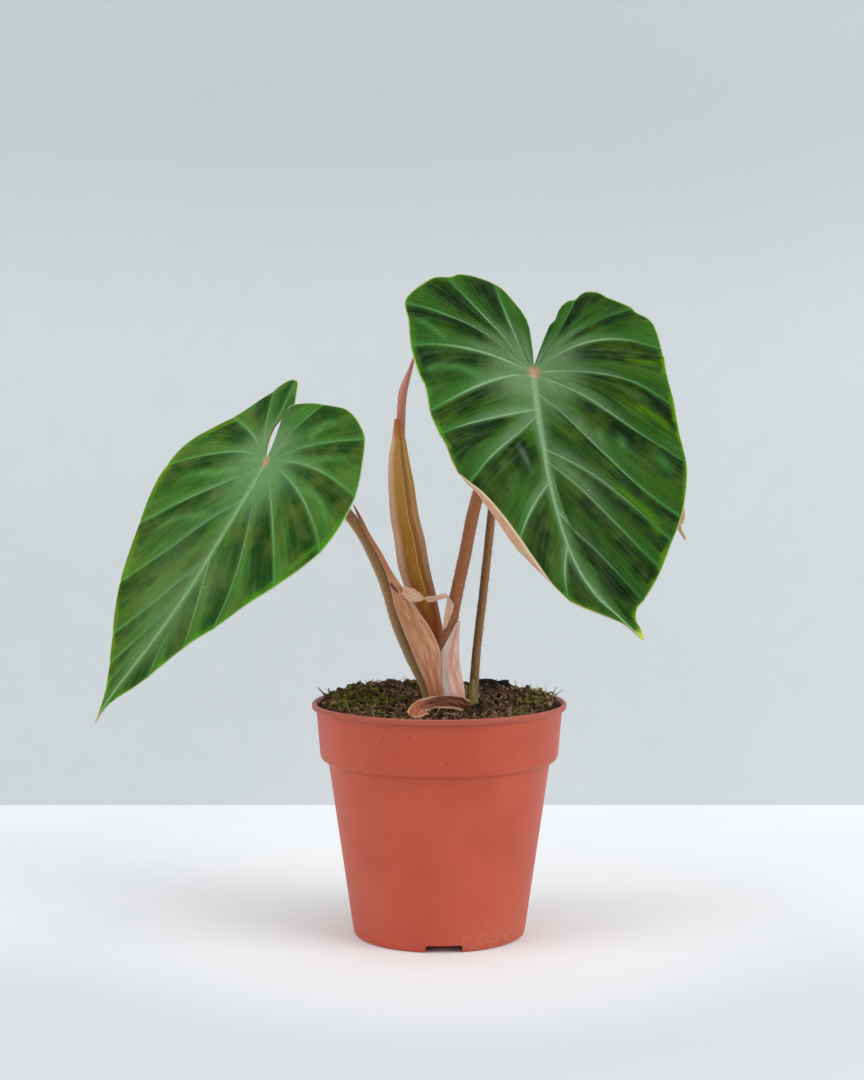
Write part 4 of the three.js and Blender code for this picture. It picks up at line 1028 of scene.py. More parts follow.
def stripMesh(name, look):
    count = len(look["rows"])
    place = np.linspace(0, count - 1, (count - 1) * stripDetail["perRow"] + 1)
    middle = curveAt([row[0] for row in look["rows"]], place)
    half = curveAt([row[1] for row in look["rows"]], place)
    bulge = valuesAt([row[2] for row in look["rows"]], place)[:, None, None]
    outwardWay = unit(np.array(look["out"], float))
    lengthwise = unit(np.gradient(middle, axis=0))[:, None]
    turn = np.linspace(0, np.pi, stripDetail["columns"] + 1)[None, :, None]
    point = middle[:, None] - half[:, None] * np.cos(turn) + outwardWay * bulge * np.sin(turn)
    tangent = half[:, None] * (np.sin(turn) + stripDetail["edgeLean"]) + outwardWay * bulge * np.cos(turn)
    normal = unit(np.cross(tangent, lengthwise))
    run = runAlong(middle)[:, None]
    across = -np.cos(turn[..., 0])
    depth, waves, drift = look["folds"]
    width = np.linalg.norm(half, axis=1)[:, None]
    crease = np.sin(across * waves * 2.2 + run * drift * 2 + 1.3)
    crease = crease + 0.5 * np.sin(across * waves * 5.1 - run * drift * 5)
    crease = crease * depth * np.clip(width / 3, 0, 1) * (1 - 0.5 * across ** 8)
    body = look["thickness"] * (0.35 + 0.65 * np.sqrt(np.clip(1 - across ** 6, 0, 1)))
    upper = point + normal * (crease + body / 2)[..., None]
    lower = point + normal * (crease - body / 2)[..., None]
    data = np.stack(np.broadcast_arrays(across, run, run / run[-1]), -1)
    draft = Draft()
    draft.grid(upper, data)
    draft.grid(lower, data)
    for cut in (0, -1):
        draft.grid(np.stack([upper[:, cut], lower[:, cut]], 1), np.stack([data[:, cut]] * 2, 1))
        draft.grid(np.stack([upper[cut], lower[cut]], 0), np.stack([data[cut]] * 2, 0))
    return draft.mesh(name, ("strip",), 60)


def witheredMaterial(name, look):
    shader = Shader(name)
    across, run, share = shader.split(shader.attribute("strip"))
    flat = shader.joined(across * 4, run * 0.16, share)
    fibre = shader.grain(shader.joined(across * 9, run * 0.12), 1.0, 4, 0.6)
    patch = shader.grain(flat, 1.4, 3)
    paper = shader.grain(shader.place(), 0.7, 3)
    shader.colour = shader.mixed(shader.ease(patch, 0.3, 0.7), look["body"], look["pale"])
    shader.coat(shader.ease(fibre, 0.5, 0.72) * 0.6, look["dark"])
    shader.coat(shader.ease(fibre, 0.28, 0.42, 0.5, 0.0), look["pale"])
    tipFrom, edgeFrom = look.get("tipFrom", 0.72), look.get("edgeFrom", 0.86)
    nearTip = shader.ease(share + (patch - 0.5) * 0.2, tipFrom, tipFrom + 0.26)
    shader.coat(nearTip * 0.7, look["tip"])
    shader.coat(shader.ease(abs(across), edgeFrom, edgeFrom + 0.11) * 0.7, look["edge"])
    # painted light on the left side of the strip
    if "leftPaintedLight" in look:
        shader.coat(shader.ease(across, 0.1, -0.6) * look["leftPaintedLight"], tone(253, 240, 236))
    if "slit" in look:
        x, _, z = shader.split(shader.place())
        middle, high = look["slit"]
        lengthways = (x - middle) * 0.18 - (z - high) * 0.21
        sideways = (x - middle) * 0.75 + (z - high) * 0.66
        slit = (1 - shader.ease(abs(sideways), 0.3, 1.1)) * (1 - shader.ease(abs(lengthways), 0.5, 1.0))
        shader.coat(slit * 0.85, tone(112, 38, 58))
        shader.coat((1 - shader.ease(z, 112, 140)) * 0.6, tone(188, 96, 74))
    return shader.finish(shader.surface(0.5 + 0.25 * paper, fibre + paper * 0.4, 0.3, 0.8, 0.4))


def buildWithered():
    for name, look in withered.items():
        piece = "withered_" + name
        addPiece(piece, stripMesh(piece, look), [witheredMaterial(piece, look)], look["slot"], name)


# Pot: thin plastic, turned from its outline, with notches in its foot and holes in its floor
pot = {
    "segments": 192, "sharpFrom": 35,
    "outside": [  # radius, height and how round the corner is
        (39.4, 0, 0.3), (40.3, 0.6, 0.3), (40.8, 2.6, 1.2), (52.2, 81.5, 1.0), (52.7, 82.2, 0.5),
        (55.3, 83.5, 0.8), (56.1, 85.2, 1.0), (57.9, 106.9, 0.5), (59.4, 107.1, 0.5), (60, 107.7, 0.5),
        (60, 109.3, 0.6), (59.4, 110, 0.35)],
    "inside": [
        (39.6, 5, 0.4), (50.9, 81.2, 0.8), (51.3, 82.1, 0.5), (54.6, 85.7, 0.8), (55, 86.7, 0.8),
        (56.6, 106.4, 0.6), (57.2, 108.6, 0.6), (58.6, 110, 0.4)],
    "foot": {"inside": 36.8, "bevel": 0.5, "underside": 3.8, "floorTop": 5.0, "padRadius": 8.0},
    "notch": {"count": 3, "first": 3, "width": 17.0, "height": 3.5, "depth": 12.0, "round": 1.2},
    "drain": {"count": 8, "radius": 4.2, "circle": 24.0, "sides": 32},
}


def roundedLine(corners):
    # each corner (radius, height, roundness) becomes a short arc, over less than half of its sides
    points = []
    steps, most = 4, 0.45
    for k, (r, z, size) in enumerate(corners):
        corner = Vector((r, z))
        if k in (0, len(corners) - 1) or size == 0:
            points.append(corner)
            continue
        before, after = Vector(corners[k - 1][:2]) - corner, Vector(corners[k + 1][:2]) - corner
        cut = min(size, most * before.length, most * after.length)
        start, end = corner + before.normalized() * cut, corner + after.normalized() * cut
        for step in range(steps + 1):
            t = step / steps
            points.append(start * (1 - t) ** 2 + corner * 2 * t * (1 - t) + end * t ** 2)
    return points


def cutFrom(piece, cutters):
    # a copy of the piece's mesh without the cutters' space
    made = Draft()
    for quads in cutters:
        made.grid(quads)
    cutter = sceneObject("cutter", made.mesh("cutter"))
    body = sceneObject("body", piece)
    cut = body.modifiers.new("cut", "BOOLEAN")
    cut.object = cutter
    cut.operation = "DIFFERENCE"
    cut.solver = "EXACT"
    result = plainMesh(body)
    for thing in (cutter, body):
        bpy.data.objects.remove(thing)
    return result


def prism(outline, low, high):
    # an upright prism over a closed outline
    ring = np.array(outline + outline[:1], float)
    middle = np.broadcast_to(ring[:-1].mean(0), ring.shape)
    return np.stack([np.column_stack([flat, np.full(len(flat), z)]) for flat, z in (
        (middle, low), (ring, low), (ring, high), (middle, high))])


def notchShape(turn):
    # a tunnel through the foot, its upper corners rounded
    notch = pot["notch"]
    half, top, corner = notch["width"] / 2, notch["height"], notch["round"]
    shoulder = corner * 0.3
    upper = [(half - corner, top), (half - shoulder, top - shoulder), (half, top - corner), (half, -2)]
    arch = [(-x, z) for x, z in upper[::-1]] + upper
    ring = np.array(arch + arch[:1], float)
    middle = np.broadcast_to(np.array([0, 1.0]), ring.shape)
    c, s = math.cos(turn), math.sin(turn)
    layers = []
    for flat, out in ((middle, 0), (ring, 0), (ring, 1), (middle, 1)):
        y = -(pot["outside"][0][0] + notch["depth"] * (out - 0.5))
        layers.append(np.column_stack([flat[:, 0] * c - y * s, flat[:, 0] * s + y * c, flat[:, 1]]))
    return np.stack(layers)


def plasticMaterial():
    shader = Shader("terracottaPlastic")
    spot = shader.place()
    x, _, z = shader.split(spot)
    cloud = shader.grain(spot, 34, 3)
    peel = shader.grain(spot, 0.7, 3)
    drawn = shader.grain(shader.scaled(spot, (1, 1, 0.02)), 1.3, 2)
    dustGrain = shader.grain(spot, 1.4, 5, 0.7)
    speck = shader.cells(spot, 3.4)
    shader.colour = shader.mixed(shader.ease(cloud, 0.3, 0.7), tone(184, 68, 39), tone(194, 78, 47))
    shader.coat(shader.ease(z, 106.4, 107.2) * 0.6, tone(160, 76, 56))
    # a painted highlight: paler pink along the top of the rim
    shader.coat(shader.ease(z, 109.4, 109.8) * 0.4, tone(204, 118, 98))
    shader.coat((1 - shader.ease(z, 0, 60)) * 0.15, tone(168, 70, 52))
    # a film of dust low on the right, and a few specks
    film = shader.ease(x + (cloud - 0.5) * 30, -6, 26) * (1 - shader.ease(z + (cloud - 0.5) * 12, 2, 20))
    shader.coat(film * shader.ease(dustGrain, 0.4, 0.7) * 0.45, tone(196, 142, 118))
    dots = (1 - shader.ease(speck, 0.05, 0.11)) * shader.ease(dustGrain, 0.5, 0.6)
    shader.coat(dots * 0.5, tone(222, 188, 168))
    height = peel * 0.3 + drawn * 0.5 + dots * 0.3
    return shader.finish(shader.surface(0.43 + 0.1 * dustGrain + 0.15 * film, height, 0.12, 0.6, 0.55))


def buildPot():
    foot = pot["foot"]
    corners = [
        (0, 0, 0), (foot["padRadius"], 0, 0.3), (foot["padRadius"], foot["underside"], 0.3),
        (foot["inside"], foot["underside"], 0.5), (foot["inside"] + foot["bevel"], 0, 0.2),
        *pot["outside"], *pot["inside"][::-1], (0, foot["floorTop"], 0)]
    profile = np.array([tuple(point) for point in roundedLine(corners)])
    angle = np.linspace(0, 2 * np.pi, pot["segments"] + 1)
    rings = np.stack([
        profile[:, :1] * np.cos(angle), profile[:, :1] * np.sin(angle),
        np.broadcast_to(profile[:, 1:], (len(profile), len(angle)))], -1)
    draft = Draft()
    draft.grid(rings)
    bores = []
    drain = pot["drain"]
    for k in range(drain["count"]):
        a = 2 * math.pi * (k + 0.5) / drain["count"]
        x, y = drain["circle"] * math.cos(a), drain["circle"] * math.sin(a)
        circle = [
            (x + drain["radius"] * math.cos(b), y + drain["radius"] * math.sin(b))
            for b in np.linspace(0, 2 * math.pi, drain["sides"] + 1)[:-1]]
        bores.append(prism(circle, foot["underside"] - 1, foot["floorTop"] + 1))
    notch = pot["notch"]
    bores += [
        notchShape(math.radians(notch["first"] + 360 * k / notch["count"])) for k in range(notch["count"])]
    mesh = cutFrom(draft.mesh("nurseryPot", (), pot["sharpFrom"]), bores)
    mesh.set_sharp_from_angle(angle=math.radians(pot["sharpFrom"]))
    addPiece("nurseryPot", mesh, [plasticMaterial()], "terracotta_plastic", "pot")


# Soil: a low hump towards the back, heaped at the pot's wall
soil = {
    "gap": 0.4, "seat": 0.3, "edgeHeight": 107.2, "edgeDrop": 3.0, "hump": 4.5, "humpAt": (-18, 22),
    "humpSpread": 30.0, "ridge": 3.8, "crumb": 1.3,
    "rings": 64, "sectors": 220, "rough": 1.5, "roughSize": 5.0, "seed": 7,
}


def wallRadius(z):
    return np.interp(z, [corner[1] for corner in pot["inside"]], [corner[0] for corner in pot["inside"]])


def soilHeight(x, y):
    radius = np.hypot(x, y) / wallRadius(soil["edgeHeight"])
    far = np.hypot(x - soil["humpAt"][0], y - soil["humpAt"][1]) / soil["humpSpread"]
    waves = (
        np.sin(0.61 * x + 1.3 * np.sin(0.37 * y)) * np.cos(0.53 * y - 0.8 * np.sin(0.43 * x))
        + 0.6 * np.sin(1.13 * x - 0.7 * y) * np.cos(0.9 * y + 0.5 * x))
    # heaped against the wall at the back and the sides
    heaped = np.maximum(smooth(y, 0, 26), smooth(np.abs(x), 30, 48) * smooth(y, -30, -4))
    ridge = soil["ridge"] * heaped * smooth(radius, 0.4, 0.8) * (1 - 0.55 * smooth(radius, 0.94, 1.0))
    hump = soil["hump"] * np.exp(-far ** 2) * (1 - 0.5 * smooth(radius, 0.5, 0.9))
    return soil["edgeHeight"] + hump + ridge + soil["crumb"] * waves * (1 - 0.6 * radius ** 6)


def roughened(points, size, depth, seed):
    # depth times a cloudy noise at each point
    spots = [Vector(point) / size + Vector((seed, 0, 0)) for point in points]
    return depth * np.array([noise.fractal(spot, 0.9, 2.1, 4) for spot in spots])


def peatMaterial():
    shader = Shader("peat")
    spot = shader.place()
    clod = shader.grain(spot, 4.0, 6, 0.65)
    fine = shader.grain(spot, 0.8, 5, 0.7)
    hole = shader.cells(spot, 2.2)
    shader.colour = shader.mixed(shader.ease(clod, 0.32, 0.68), tone(34, 24, 18), tone(84, 62, 44))
    shader.coat(shader.ease(fine, 0.55, 0.78) * 0.6, tone(122, 92, 64))
    # painted shade: dark spots where small hollows would be shaded
    shader.coat((1 - shader.ease(hole, 0.0, 0.35)) * 0.5, tone(20, 14, 11))
    return shader.finish(shader.surface(0.95, clod + fine * 0.6, 1.6, 1.0, 0.15))


def soilTop():
    # points of the top from its middle to its edge, in rings
    edge = wallRadius(soil["edgeHeight"]) - soil["gap"]
    radius = np.linspace(0, edge, soil["rings"] + 1)[:, None]
    angle = np.linspace(0, 2 * np.pi, soil["sectors"] + 1)[None, :]
    x, y = radius * np.cos(angle), radius * np.sin(angle)
    z = soilHeight(x, y)
    flat = np.stack([x[:, :-1], y[:, :-1], 0 * x[:, :-1]], -1).reshape(-1, 3)
    rough = roughened(flat, soil["roughSize"], soil["rough"], soil["seed"]).reshape(len(radius), -1)
    rough[0] = rough[0, 0]
    z = z + np.column_stack([rough, rough[:, :1]]) * (1 - (radius / edge) ** 10)
    return np.stack([x, y, z], -1)


def buildSoil():
    top = soilTop()
    low = soil["edgeHeight"] - soil["edgeDrop"]
    heights = [z for _, z, _ in pot["inside"] if z < low]
    angle = np.linspace(0, 2 * np.pi, soil["sectors"] + 1)

    def ring(radius, z):
        return np.column_stack([radius * np.cos(angle), radius * np.sin(angle), np.full(len(angle), z)])
    rings = [ring(0, heights[0] + soil["seat"])]
    rings += [ring(wallRadius(z) - soil["gap"], z + soil["seat"]) for z in heights]
    rings.append(ring(wallRadius(low) - soil["gap"], low))
    draft = Draft()
    draft.grid(top)
    draft.grid(np.stack(rings + [top[-1]]))
    addPiece("pottingSoil", draft.mesh("pottingSoil", (), 80), [peatMaterial()], "potting_soil", "soil")
    return top


# Crown: the short stem that everything grows from, and its thick roots, all of it in the soil
crown = {
    "line": [(-8, -12, 102), (0, -13, 103.5), (9, -13, 104), (18, -11, 102)], "radii": [4, 5.5, 5.5, 3.6],
    "roots": [
        [(-4, -12, 100), (-14, -16, 84), (-24, -20, 60), (-28, -16, 38)],
        [(2, -13, 100), (2, -26, 82), (8, -34, 58), (4, -32, 34)],
        [(8, -12, 100), (18, -4, 80), (26, 8, 56), (24, 16, 34)],
        [(0, -10, 100), (-6, 6, 82), (-10, 20, 58), (-4, 26, 36)]],
    "rootRadii": [2.4, 1.9, 1.5, 0.9], "sides": 40, "rootSides": 16, "steps": 50,
}


def barkMaterial():
    shader = Shader("crownBark")
    spot = shader.place()
    rough = shader.grain(spot, 1.6, 5, 0.65)
    ring = shader.grain(shader.scaled(spot, (1, 0.3, 0.3)), 1.0, 3)
    shader.colour = shader.mixed(shader.ease(rough, 0.3, 0.7), tone(70, 48, 34), tone(132, 102, 70))
    shader.coat(shader.ease(ring, 0.5, 0.7) * 0.5, tone(96, 92, 48))
    return shader.finish(shader.surface(0.85, rough + ring, 0.8, 1.0, 0.2))


def buildCrown():
    def knobbly(angle, share, radius):
        rings = 0.07 * np.sin(share * 40 + np.sin(angle * 2))
        return radius * (1 + rings + 0.05 * np.sin(angle * 3 + share * 9))
    draft = Draft()
    draft.grid(*tubeGrid(crown["line"], crown["radii"], crown["sides"], crown["steps"], knobbly))
    for root in crown["roots"]:
        draft.grid(*tubeGrid(root, crown["rootRadii"], crown["rootSides"], crown["steps"], knobbly))
    mesh = draft.mesh("crownAndRoots", ("stem",), 60)
    addPiece("crownAndRoots", mesh, [barkMaterial()], "crown_bark", "crown")


# Things scattered over a surface by one node tree
def scatterTree():
    tree = bpy.data.node_groups.new("scatter", "GeometryNodeTree")
    face = tree.interface
    face.new_socket("Geometry", in_out="OUTPUT", socket_type="NodeSocketGeometry")
    kinds = {
        "Ground": "Geometry", "Per square millimetre": "Float", "Where": "String", "Shape": "Object",
        "Smallest": "Float", "Largest": "Float", "Lean": "Float", "Seed": "Int", "Finish": "Material"}
    for name, kind in kinds.items():
        face.new_socket(name, in_out="INPUT", socket_type="NodeSocket" + kind)

    def node(kind, settings=None, sockets=None):
        return addNode(tree, kind, settings, sockets)
    given = node("NodeGroupInput").outputs
    where = node("GeometryNodeInputNamedAttribute", {"data_type": "FLOAT"}, {"Name": given["Where"]})
    toSquareMetres = 1 / mm ** 2
    most = node("ShaderNodeMath", {"operation": "MULTIPLY"}, {
        0: given["Per square millimetre"], 1: toSquareMetres})
    density = node("ShaderNodeMath", {"operation": "MULTIPLY"}, {0: most.outputs[0], 1: where.outputs[0]})
    points = node("GeometryNodeDistributePointsOnFaces", {"distribute_method": "RANDOM"}, {
        "Mesh": given["Ground"], "Density": density.outputs[0], "Seed": given["Seed"]})
    size = node("FunctionNodeRandomValue", {"data_type": "FLOAT"}, {
        2: given["Smallest"], 3: given["Largest"], "Seed": given["Seed"]})
    least = node("ShaderNodeMath", {"operation": "MULTIPLY"}, {0: given["Lean"], 1: -1.0})
    lowTurn = node("ShaderNodeCombineXYZ", {}, {0: least.outputs[0], 1: least.outputs[0], 2: 0.0})
    highTurn = node("ShaderNodeCombineXYZ", {}, {0: given["Lean"], 1: given["Lean"], 2: 2 * math.pi})
    turn = node("FunctionNodeRandomValue", {"data_type": "FLOAT_VECTOR"}, {
        0: lowTurn.outputs[0], 1: highTurn.outputs[0], "Seed": given["Seed"]})
    turned = node("FunctionNodeEulerToRotation", {}, {0: turn.outputs[0]})
    stood = node("FunctionNodeRotateRotation", {"rotation_space": "LOCAL"}, {
        0: points.outputs["Rotation"], 1: turned.outputs[0]})
    shape = node("GeometryNodeObjectInfo", {"transform_space": "ORIGINAL"}, {"Object": given["Shape"]})
    placed = node("GeometryNodeInstanceOnPoints", {}, {
        "Points": points.outputs["Points"], "Instance": shape.outputs["Geometry"],
        "Rotation": stood.outputs[0], "Scale": size.outputs[1]})
    shade = node("FunctionNodeRandomValue", {"data_type": "FLOAT"}, {2: 0.0, 3: 1.0, "Seed": 77})
    marked = node("GeometryNodeStoreNamedAttribute", {"data_type": "FLOAT", "domain": "INSTANCE"}, {
        "Geometry": placed.outputs[0], "Name": "shade", "Value": shade.outputs[1]})
    real = node("GeometryNodeRealizeInstances", {}, {0: marked.outputs[0]})
    finished = node("GeometryNodeSetMaterial", {}, {"Geometry": real.outputs[0], "Material": given["Finish"]})
    node("NodeGroupOutput", {}, {0: finished.outputs[0]})
    return tree


def scattered(name, tree, ground, shape, look, material, slot):
    # ground and shape are meshes. The result is a piece of its own.
    carrier = sceneObject(name + "Ground", ground)
    model = sceneObject(name + "Shape", shape)
    modifier = carrier.modifiers.new("scatter", "NODES")
    modifier.node_group = tree
    values = {
        "Per square millimetre": look["density"], "Where": look["where"], "Shape": model,
        "Smallest": float(look["sizes"][0]), "Largest": float(look["sizes"][1]),
        "Lean": math.radians(look["lean"]), "Seed": look["seed"], "Finish": material}
    for item in tree.interface.items_tree:
        if item.in_out == "INPUT" and item.name in values:
            modifier[item.identifier] = values[item.name]
    mesh = plainMesh(carrier)
    carrier.modifiers.remove(modifier)
    for thing in (carrier, model):
        bpy.data.objects.remove(thing)
    mesh.name = name
    addPiece(name, mesh, [], slot)


def lumpShape(name, seed, stretch=(1, 1, 1)):
    # an uneven clod, one millimetre across
    def grown(work):
        bmesh.ops.create_icosphere(work, subdivisions=1, radius=0.5)
        for point in work.verts:
            swell = 1 + 0.45 * noise.noise(point.co * 2.1 + Vector((seed, 0, 0)))
            point.co = Vector([c * s for c, s in zip(point.co * swell, stretch)]) * mm
    return roundShaded(edited(bpy.data.meshes.new(name), grown))


def strandShape(name, line, radius, sides=4, steps=6):
    draft = Draft()
    draft.grid(*tubeGrid(line, [radius, radius, radius * 0.3], sides, steps))
    return draft.mesh(name, ("stem",), 80)


def tuftShape(name, blades, seed):
    # a tuft of small pointed leaves
    chance = np.random.default_rng(seed)
    draft = Draft()
    for _ in range(blades):
        turn, lean = chance.uniform(0, 2 * np.pi), chance.uniform(0.2, 1.1)
        way = np.array([math.cos(turn) * lean, math.sin(turn) * lean, 1.0])
        way = way / np.linalg.norm(way)
        side = np.array([-math.sin(turn), math.cos(turn), 0]) * 0.16
        root = np.array([math.cos(turn), math.sin(turn), 0]) * 0.1
        knee, tip = root + way * 0.6, root + way * 1.1 + np.array([way[0], way[1], -0.3]) * 0.3
        lift = np.array([0, 0, 0.05])
        middle = np.stack([knee - side, knee + lift, knee + side, knee - side])
        draft.grid(np.stack([np.stack([root] * 4), middle, np.stack([tip] * 4)]))
    return draft.mesh(name, (), 80)


def grainMaterial(name, dark, light, rough=0.9, size=0.8):
    shader = Shader(name)
    shade = shader.wire("ShaderNodeAttribute", {"attribute_name": "shade"}, {}, "Fac")
    cloud = shader.grain(shader.place(), size, 4, 0.6)
    shader.colour = shader.mixed(shader.ease(shade * 0.7 + cloud * 0.5, 0.25, 0.95), dark, light)
    return shader.finish(shader.surface(rough, cloud, 0.4, 0.9, 0.2))


# What lies on the soil: sizes are factors on the drawn shape, lean is in degrees
litter = {
    "crumbs": {
        "density": 0.26, "where": "everywhere", "sizes": (0.9, 3.4), "lean": 180, "seed": 3,
        "finish": (tone(40, 28, 20), tone(128, 100, 70), 0.9)},
    "chips": {
        "density": 0.11, "where": "everywhere", "sizes": (1.2, 3.6), "lean": 60, "seed": 17,
        "finish": (tone(74, 50, 32), tone(176, 146, 108), 0.9)},
    "clods": {
        "density": 0.022, "where": "everywhere", "sizes": (3.2, 6.2), "lean": 180, "seed": 14,
        "finish": (tone(30, 22, 17), tone(84, 64, 46), 0.9)},
    "fibres": {
        "density": 0.055, "where": "everywhere", "sizes": (0.4, 1.15), "lean": 80, "seed": 5,
        "finish": (tone(112, 72, 46), tone(206, 168, 124), 0.8)},
    "moss": {
        "density": 0.8, "where": "mossy", "sizes": (0.8, 2.7), "lean": 50, "seed": 8,
        "finish": (tone(62, 72, 20), tone(150, 160, 62), 0.8)},
    "grit": {
        "density": 0.005, "where": "everywhere", "sizes": (0.5, 1.1), "lean": 180, "seed": 21,
        "finish": (tone(190, 184, 172), tone(226, 222, 214), 0.8)},
    "mossAt": [  # middle and reach of each patch
        (-36, 14, 8), (-26, -2, 8), (-44, -15, 6), (44, -4, 6), (-52, 2, 5), (-8, 30, 6), (14, 34, 5),
        (-30, -34, 6), (34, -30, 4), (-40, -4, 7), (48, 12, 5)],
    "tufts": [  # foot, lean and number of stalks
        ((-50, 4, 109), (-0.9, 0, 1.0), 13), ((-46, 8, 110), (0.4, 0, 0.9), 6),
        ((50, 12, 109), (0.1, 0, 0.9), 7), ((28, 22, 109.6), (0.9, -0.4, 0.7), 5),
        ((-34, 24, 110), (-0.5, 0, 0.8), 5)],
    "twigs": [  # loose stalks, and their radius
        ([(-40, 14, 110), (-35, 10, 114.4), (-29, 7, 113.2)], 0.3),
        ([(24, 22, 108), (28, 16, 113.2), (34, 8, 111.5), (36, 2, 108)], 0.45),
        ([(30, 26, 109), (33, 24, 113.6), (39, 22, 112.2)], 0.35),
        ([(50, 14, 108), (53, 12, 112.6), (56, 10, 111.6)], 0.4),
        ([(18, -20, 107), (26, -24, 110.4), (35, -25, 108.6)], 0.4),
        ([(27, -12, 108), (32, -18, 110.8), (38, -26, 109)], 0.3),
        ([(-20, -20, 109), (-28, -25, 111), (-35, -27, 109)], 0.35)],
    "bark": [  # dark lumps: middle and half sizes
        ((27, 38, 111.8), (8.0, 4.0, 3.4)), ((-12, 42, 111.0), (5.0, 3.0, 2.2)),
        ((-33, 30, 110.6), (5.5, 3.5, 2.4)), ((44, 22, 109.6), (4.5, 3.0, 2.2)),
        ((-40, -8, 109.4), (4.0, 3.0, 2.0))],
    "bareRim": 2.2, "seed": 5,
    "tuft": {"spread": 2.6, "sway": 0.9, "bend": 1.6, "reach": (2.5, 6.5), "radii": [0.26, 0.22, 0.14]},
}


def groundMesh(name, top):
    draft = Draft()
    draft.grid(top)
    mesh = draft.mesh(name, (), 80)

    def upward(work):
        if sum(face.normal.z for face in work.faces) < 0:
            bmesh.ops.reverse_faces(work, faces=work.faces)
    edited(mesh, upward)
    spots = np.zeros(len(mesh.vertices) * 3)
    mesh.vertices.foreach_get("co", spots)
    x, y, _ = (spots.reshape(-1, 3) / mm).T
    inside = np.hypot(x, y) < wallRadius(soil["edgeHeight"]) - litter["bareRim"]
    moss = sum(np.exp(-((x - a) ** 2 + (y - b) ** 2) / reach ** 2) for a, b, reach in litter["mossAt"])
    mossy = inside * np.clip(moss * 1.4 - 0.25, 0, 1)
    for channel, values in (("everywhere", inside * 1.0), ("mossy", mossy)):
        layer = mesh.attributes.new(channel, "FLOAT", "POINT")
        layer.data.foreach_set("value", values.astype(np.float32))
    return mesh


def buildLitter(tree, top):
    shapes = {
        "crumbs": lumpShape("crumbShape", 1, (1, 0.85, 0.7)),
        "chips": lumpShape("chipShape", 12, (1.5, 0.55, 0.3)),
        "clods": lumpShape("clodShape", 5, (1, 0.8, 0.75)),
        "fibres": strandShape(
            "fibreShape", [(-4, 0, 0), (-1.5, 0.8, 0.5), (1.5, -0.5, 0.9), (4.5, 0.6, 0.2)], 0.18),
        "moss": tuftShape("mossShape", 6, 4),
        "grit": lumpShape("gritShape", 9),
    }
    for name, shape in shapes.items():
        ground = groundMesh(name + "Ground", top)
        finish = grainMaterial(name, *litter[name]["finish"])
        scattered(name, tree, ground, shape, litter[name], finish, "potting_soil")
    twigs = Draft()
    for line, radius in litter["twigs"]:
        twigs.grid(*tubeGrid(line, [radius, radius, radius * 0.5], 8, 24))
    dice = np.random.default_rng(litter["seed"])
    tuft = litter["tuft"]
    for foot, lean, count in litter["tufts"]:
        for _ in range(count):
            start = np.array(foot) + dice.uniform(-tuft["spread"], tuft["spread"], 3) * (1, 1, 0.2)
            way = np.array(lean) + dice.uniform(-tuft["sway"], tuft["sway"], 3) * (1, 0.7, 0.5)
            bend = dice.uniform(-tuft["bend"], tuft["bend"], 3)
            reach = dice.uniform(*tuft["reach"])
            line = [tuple(start + way * reach * k + bend * k * k * (1, 1, -0.6)) for k in (0, 0.4, 0.75, 1)]
            twigs.grid(*tubeGrid(line, tuft["radii"], 6, 14))
    finish = grainMaterial("twigs", tone(112, 78, 52), tone(196, 160, 120), 0.8, 1.2)
    addPiece("twigs", twigs.mesh("twigs", ("stem",), 60), [finish], "potting_soil")

    def lumped(work):
        for middle, half in litter["bark"]:
            made = bmesh.ops.create_icosphere(work, subdivisions=4, radius=1.0)["verts"]
            for point in made:
                swell = 1 + 0.5 * noise.fractal(point.co * 1.3 + Vector(middle), 0.8, 2.0, 4)
                point.co = Vector([(m + h * c * swell) * mm for m, h, c in zip(middle, half, point.co)])
    bark = roundShaded(edited(bpy.data.meshes.new("barkLumps"), lumped))
    finish = grainMaterial("barkLumps", tone(15, 13, 12), tone(44, 36, 31), 0.8, 1.6)
    addPiece("barkLumps", bark, [finish], "potting_soil")


# Warts and hairs on the petioles, each in its stalk's slot
bristles = {
    "warts": {
        "density": 0.35, "where": "stalk", "sizes": (0.25, 0.5), "lean": 20, "seed": 31,
        "finish": (tone(150, 96, 74), tone(222, 186, 164), 0.6)},
    "hairs": {
        "density": 0.5, "where": "stalk", "sizes": (0.6, 1.3), "lean": 28, "seed": 32,
        "finish": (tone(150, 88, 66), tone(214, 176, 150), 0.6)},
}


def buildBristles(tree, stalks):
    shapes = {
        "warts": lumpShape("wartShape", 2, (1, 1, 0.8)),
        "hairs": strandShape("hairShape", [(0, 0, -0.1), (0.05, 0, 0.5), (0.2, 0, 1.0)], 0.055, 3, 2),
    }
    finishes = {kind: grainMaterial(kind, *bristles[kind]["finish"]) for kind in shapes}
    for side, stalkPiece in stalks.items():
        for kind, shape in shapes.items():
            ground = stalkPiece.data.copy()
            layer = ground.attributes.new("stalk", "FLOAT", "POINT")
            layer.data.foreach_set("value", [1.0] * len(ground.vertices))
            scattered(f"{kind}_{side}", tree, ground, shape.copy(), bristles[kind], finishes[kind],
                      petioles[side]["slot"])


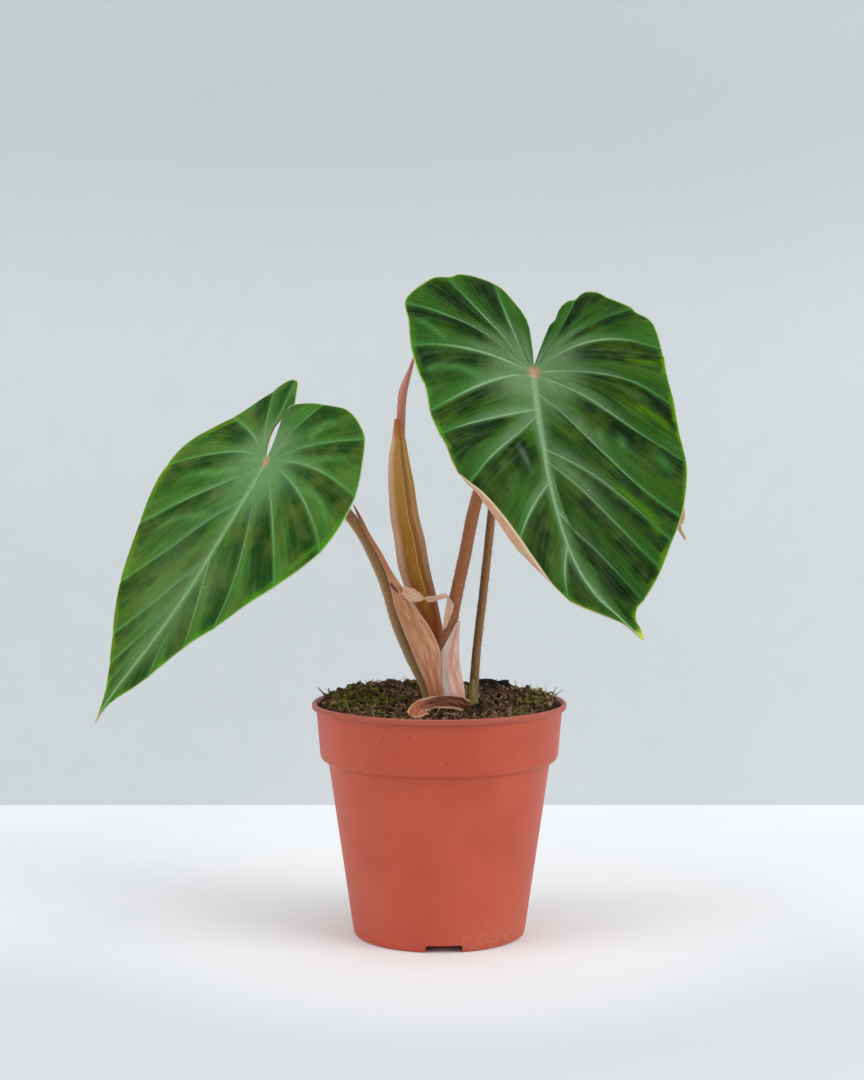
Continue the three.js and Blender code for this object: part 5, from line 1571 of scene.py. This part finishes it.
# Stage: a white table and a pale wall behind it
def stageMaterial(name, base, stain, shadeTone, oneSided):
    shader = Shader(name)
    spot = shader.place()
    cloud = shader.grain(spot, 260, 4, 0.5)
    speck = shader.grain(shader.scaled(spot, (1, 3, 1)), 18, 5, 0.65)
    shader.colour = shader.mixed(shader.ease(cloud * 0.7 + speck * 0.3, 0.42, 0.68) * 0.6, base, stain)
    # painted shade high on the wall and on the near part of the table
    x, y, z = shader.split(spot)
    paintedShade = shader.ease(z, 270, 450) if oneSided else shader.ease(y, 90, -130)
    shader.coat(paintedShade, shadeTone)
    if not oneSided:
        # painted light round the pot: a bluish white that lightens its shadow and the pink light thrown from
        # it
        around = (x * x + y * y).calc("SQRT")
        shader.coat(shader.ease(around, 200, 60) * 0.85, tone(250, 254, 255))
    surface = shader.surface(0.75, speck, 0.3, 0.3, 0.2)
    if oneSided:
        behind = shader.wire("ShaderNodeNewGeometry", {}, {}, "Backfacing")
        clear = shader.wire("ShaderNodeBsdfTransparent", {}, {})
        surface = shader.wire("ShaderNodeMixShader", {}, {0: behind, 1: surface, 2: clear})
    return shader.finish(surface)


def buildStage():
    wide, deep, high, wall = (studio[k] * mm for k in ("wallWidth", "floorDepth", "wallHeight", "wallAt"))
    table = stageMaterial("whiteTable", tone(251, 251, 252), tone(240, 241, 244), tone(219, 222, 226), False)
    paint = stageMaterial("greyWall", tone(206, 212, 214), tone(200, 207, 210), tone(189, 195, 197), True)
    sheets = {
        "floor": ([(-wide, -deep, 0), (wide, -deep, 0), (wide, deep, 0), (-wide, deep, 0)], table),
        "wall": ([(-wide, wall, 0), (wide, wall, 0), (wide, wall, high), (-wide, wall, high)], paint),
    }
    for name, (corners, material) in sheets.items():
        mesh = bpy.data.meshes.new(name)
        mesh.from_pydata(corners, [], [(0, 1, 2, 3)])
        mesh.materials.append(material)
        sheet = sceneObject(name, mesh)


buildCamera()
buildLamps()
buildStage()
print("camera, lights and stage are there")
buildLeaves()
print("leaves are there")
stalks = buildPetioles()
buildNewLeaf()
buildWithered()
print("stalks and sheaths are there")
buildPot()
top = buildSoil()
buildCrown()
print("pot and soil are there")
tree = scatterTree()
buildLitter(tree, top)
buildBristles(tree, stalks)
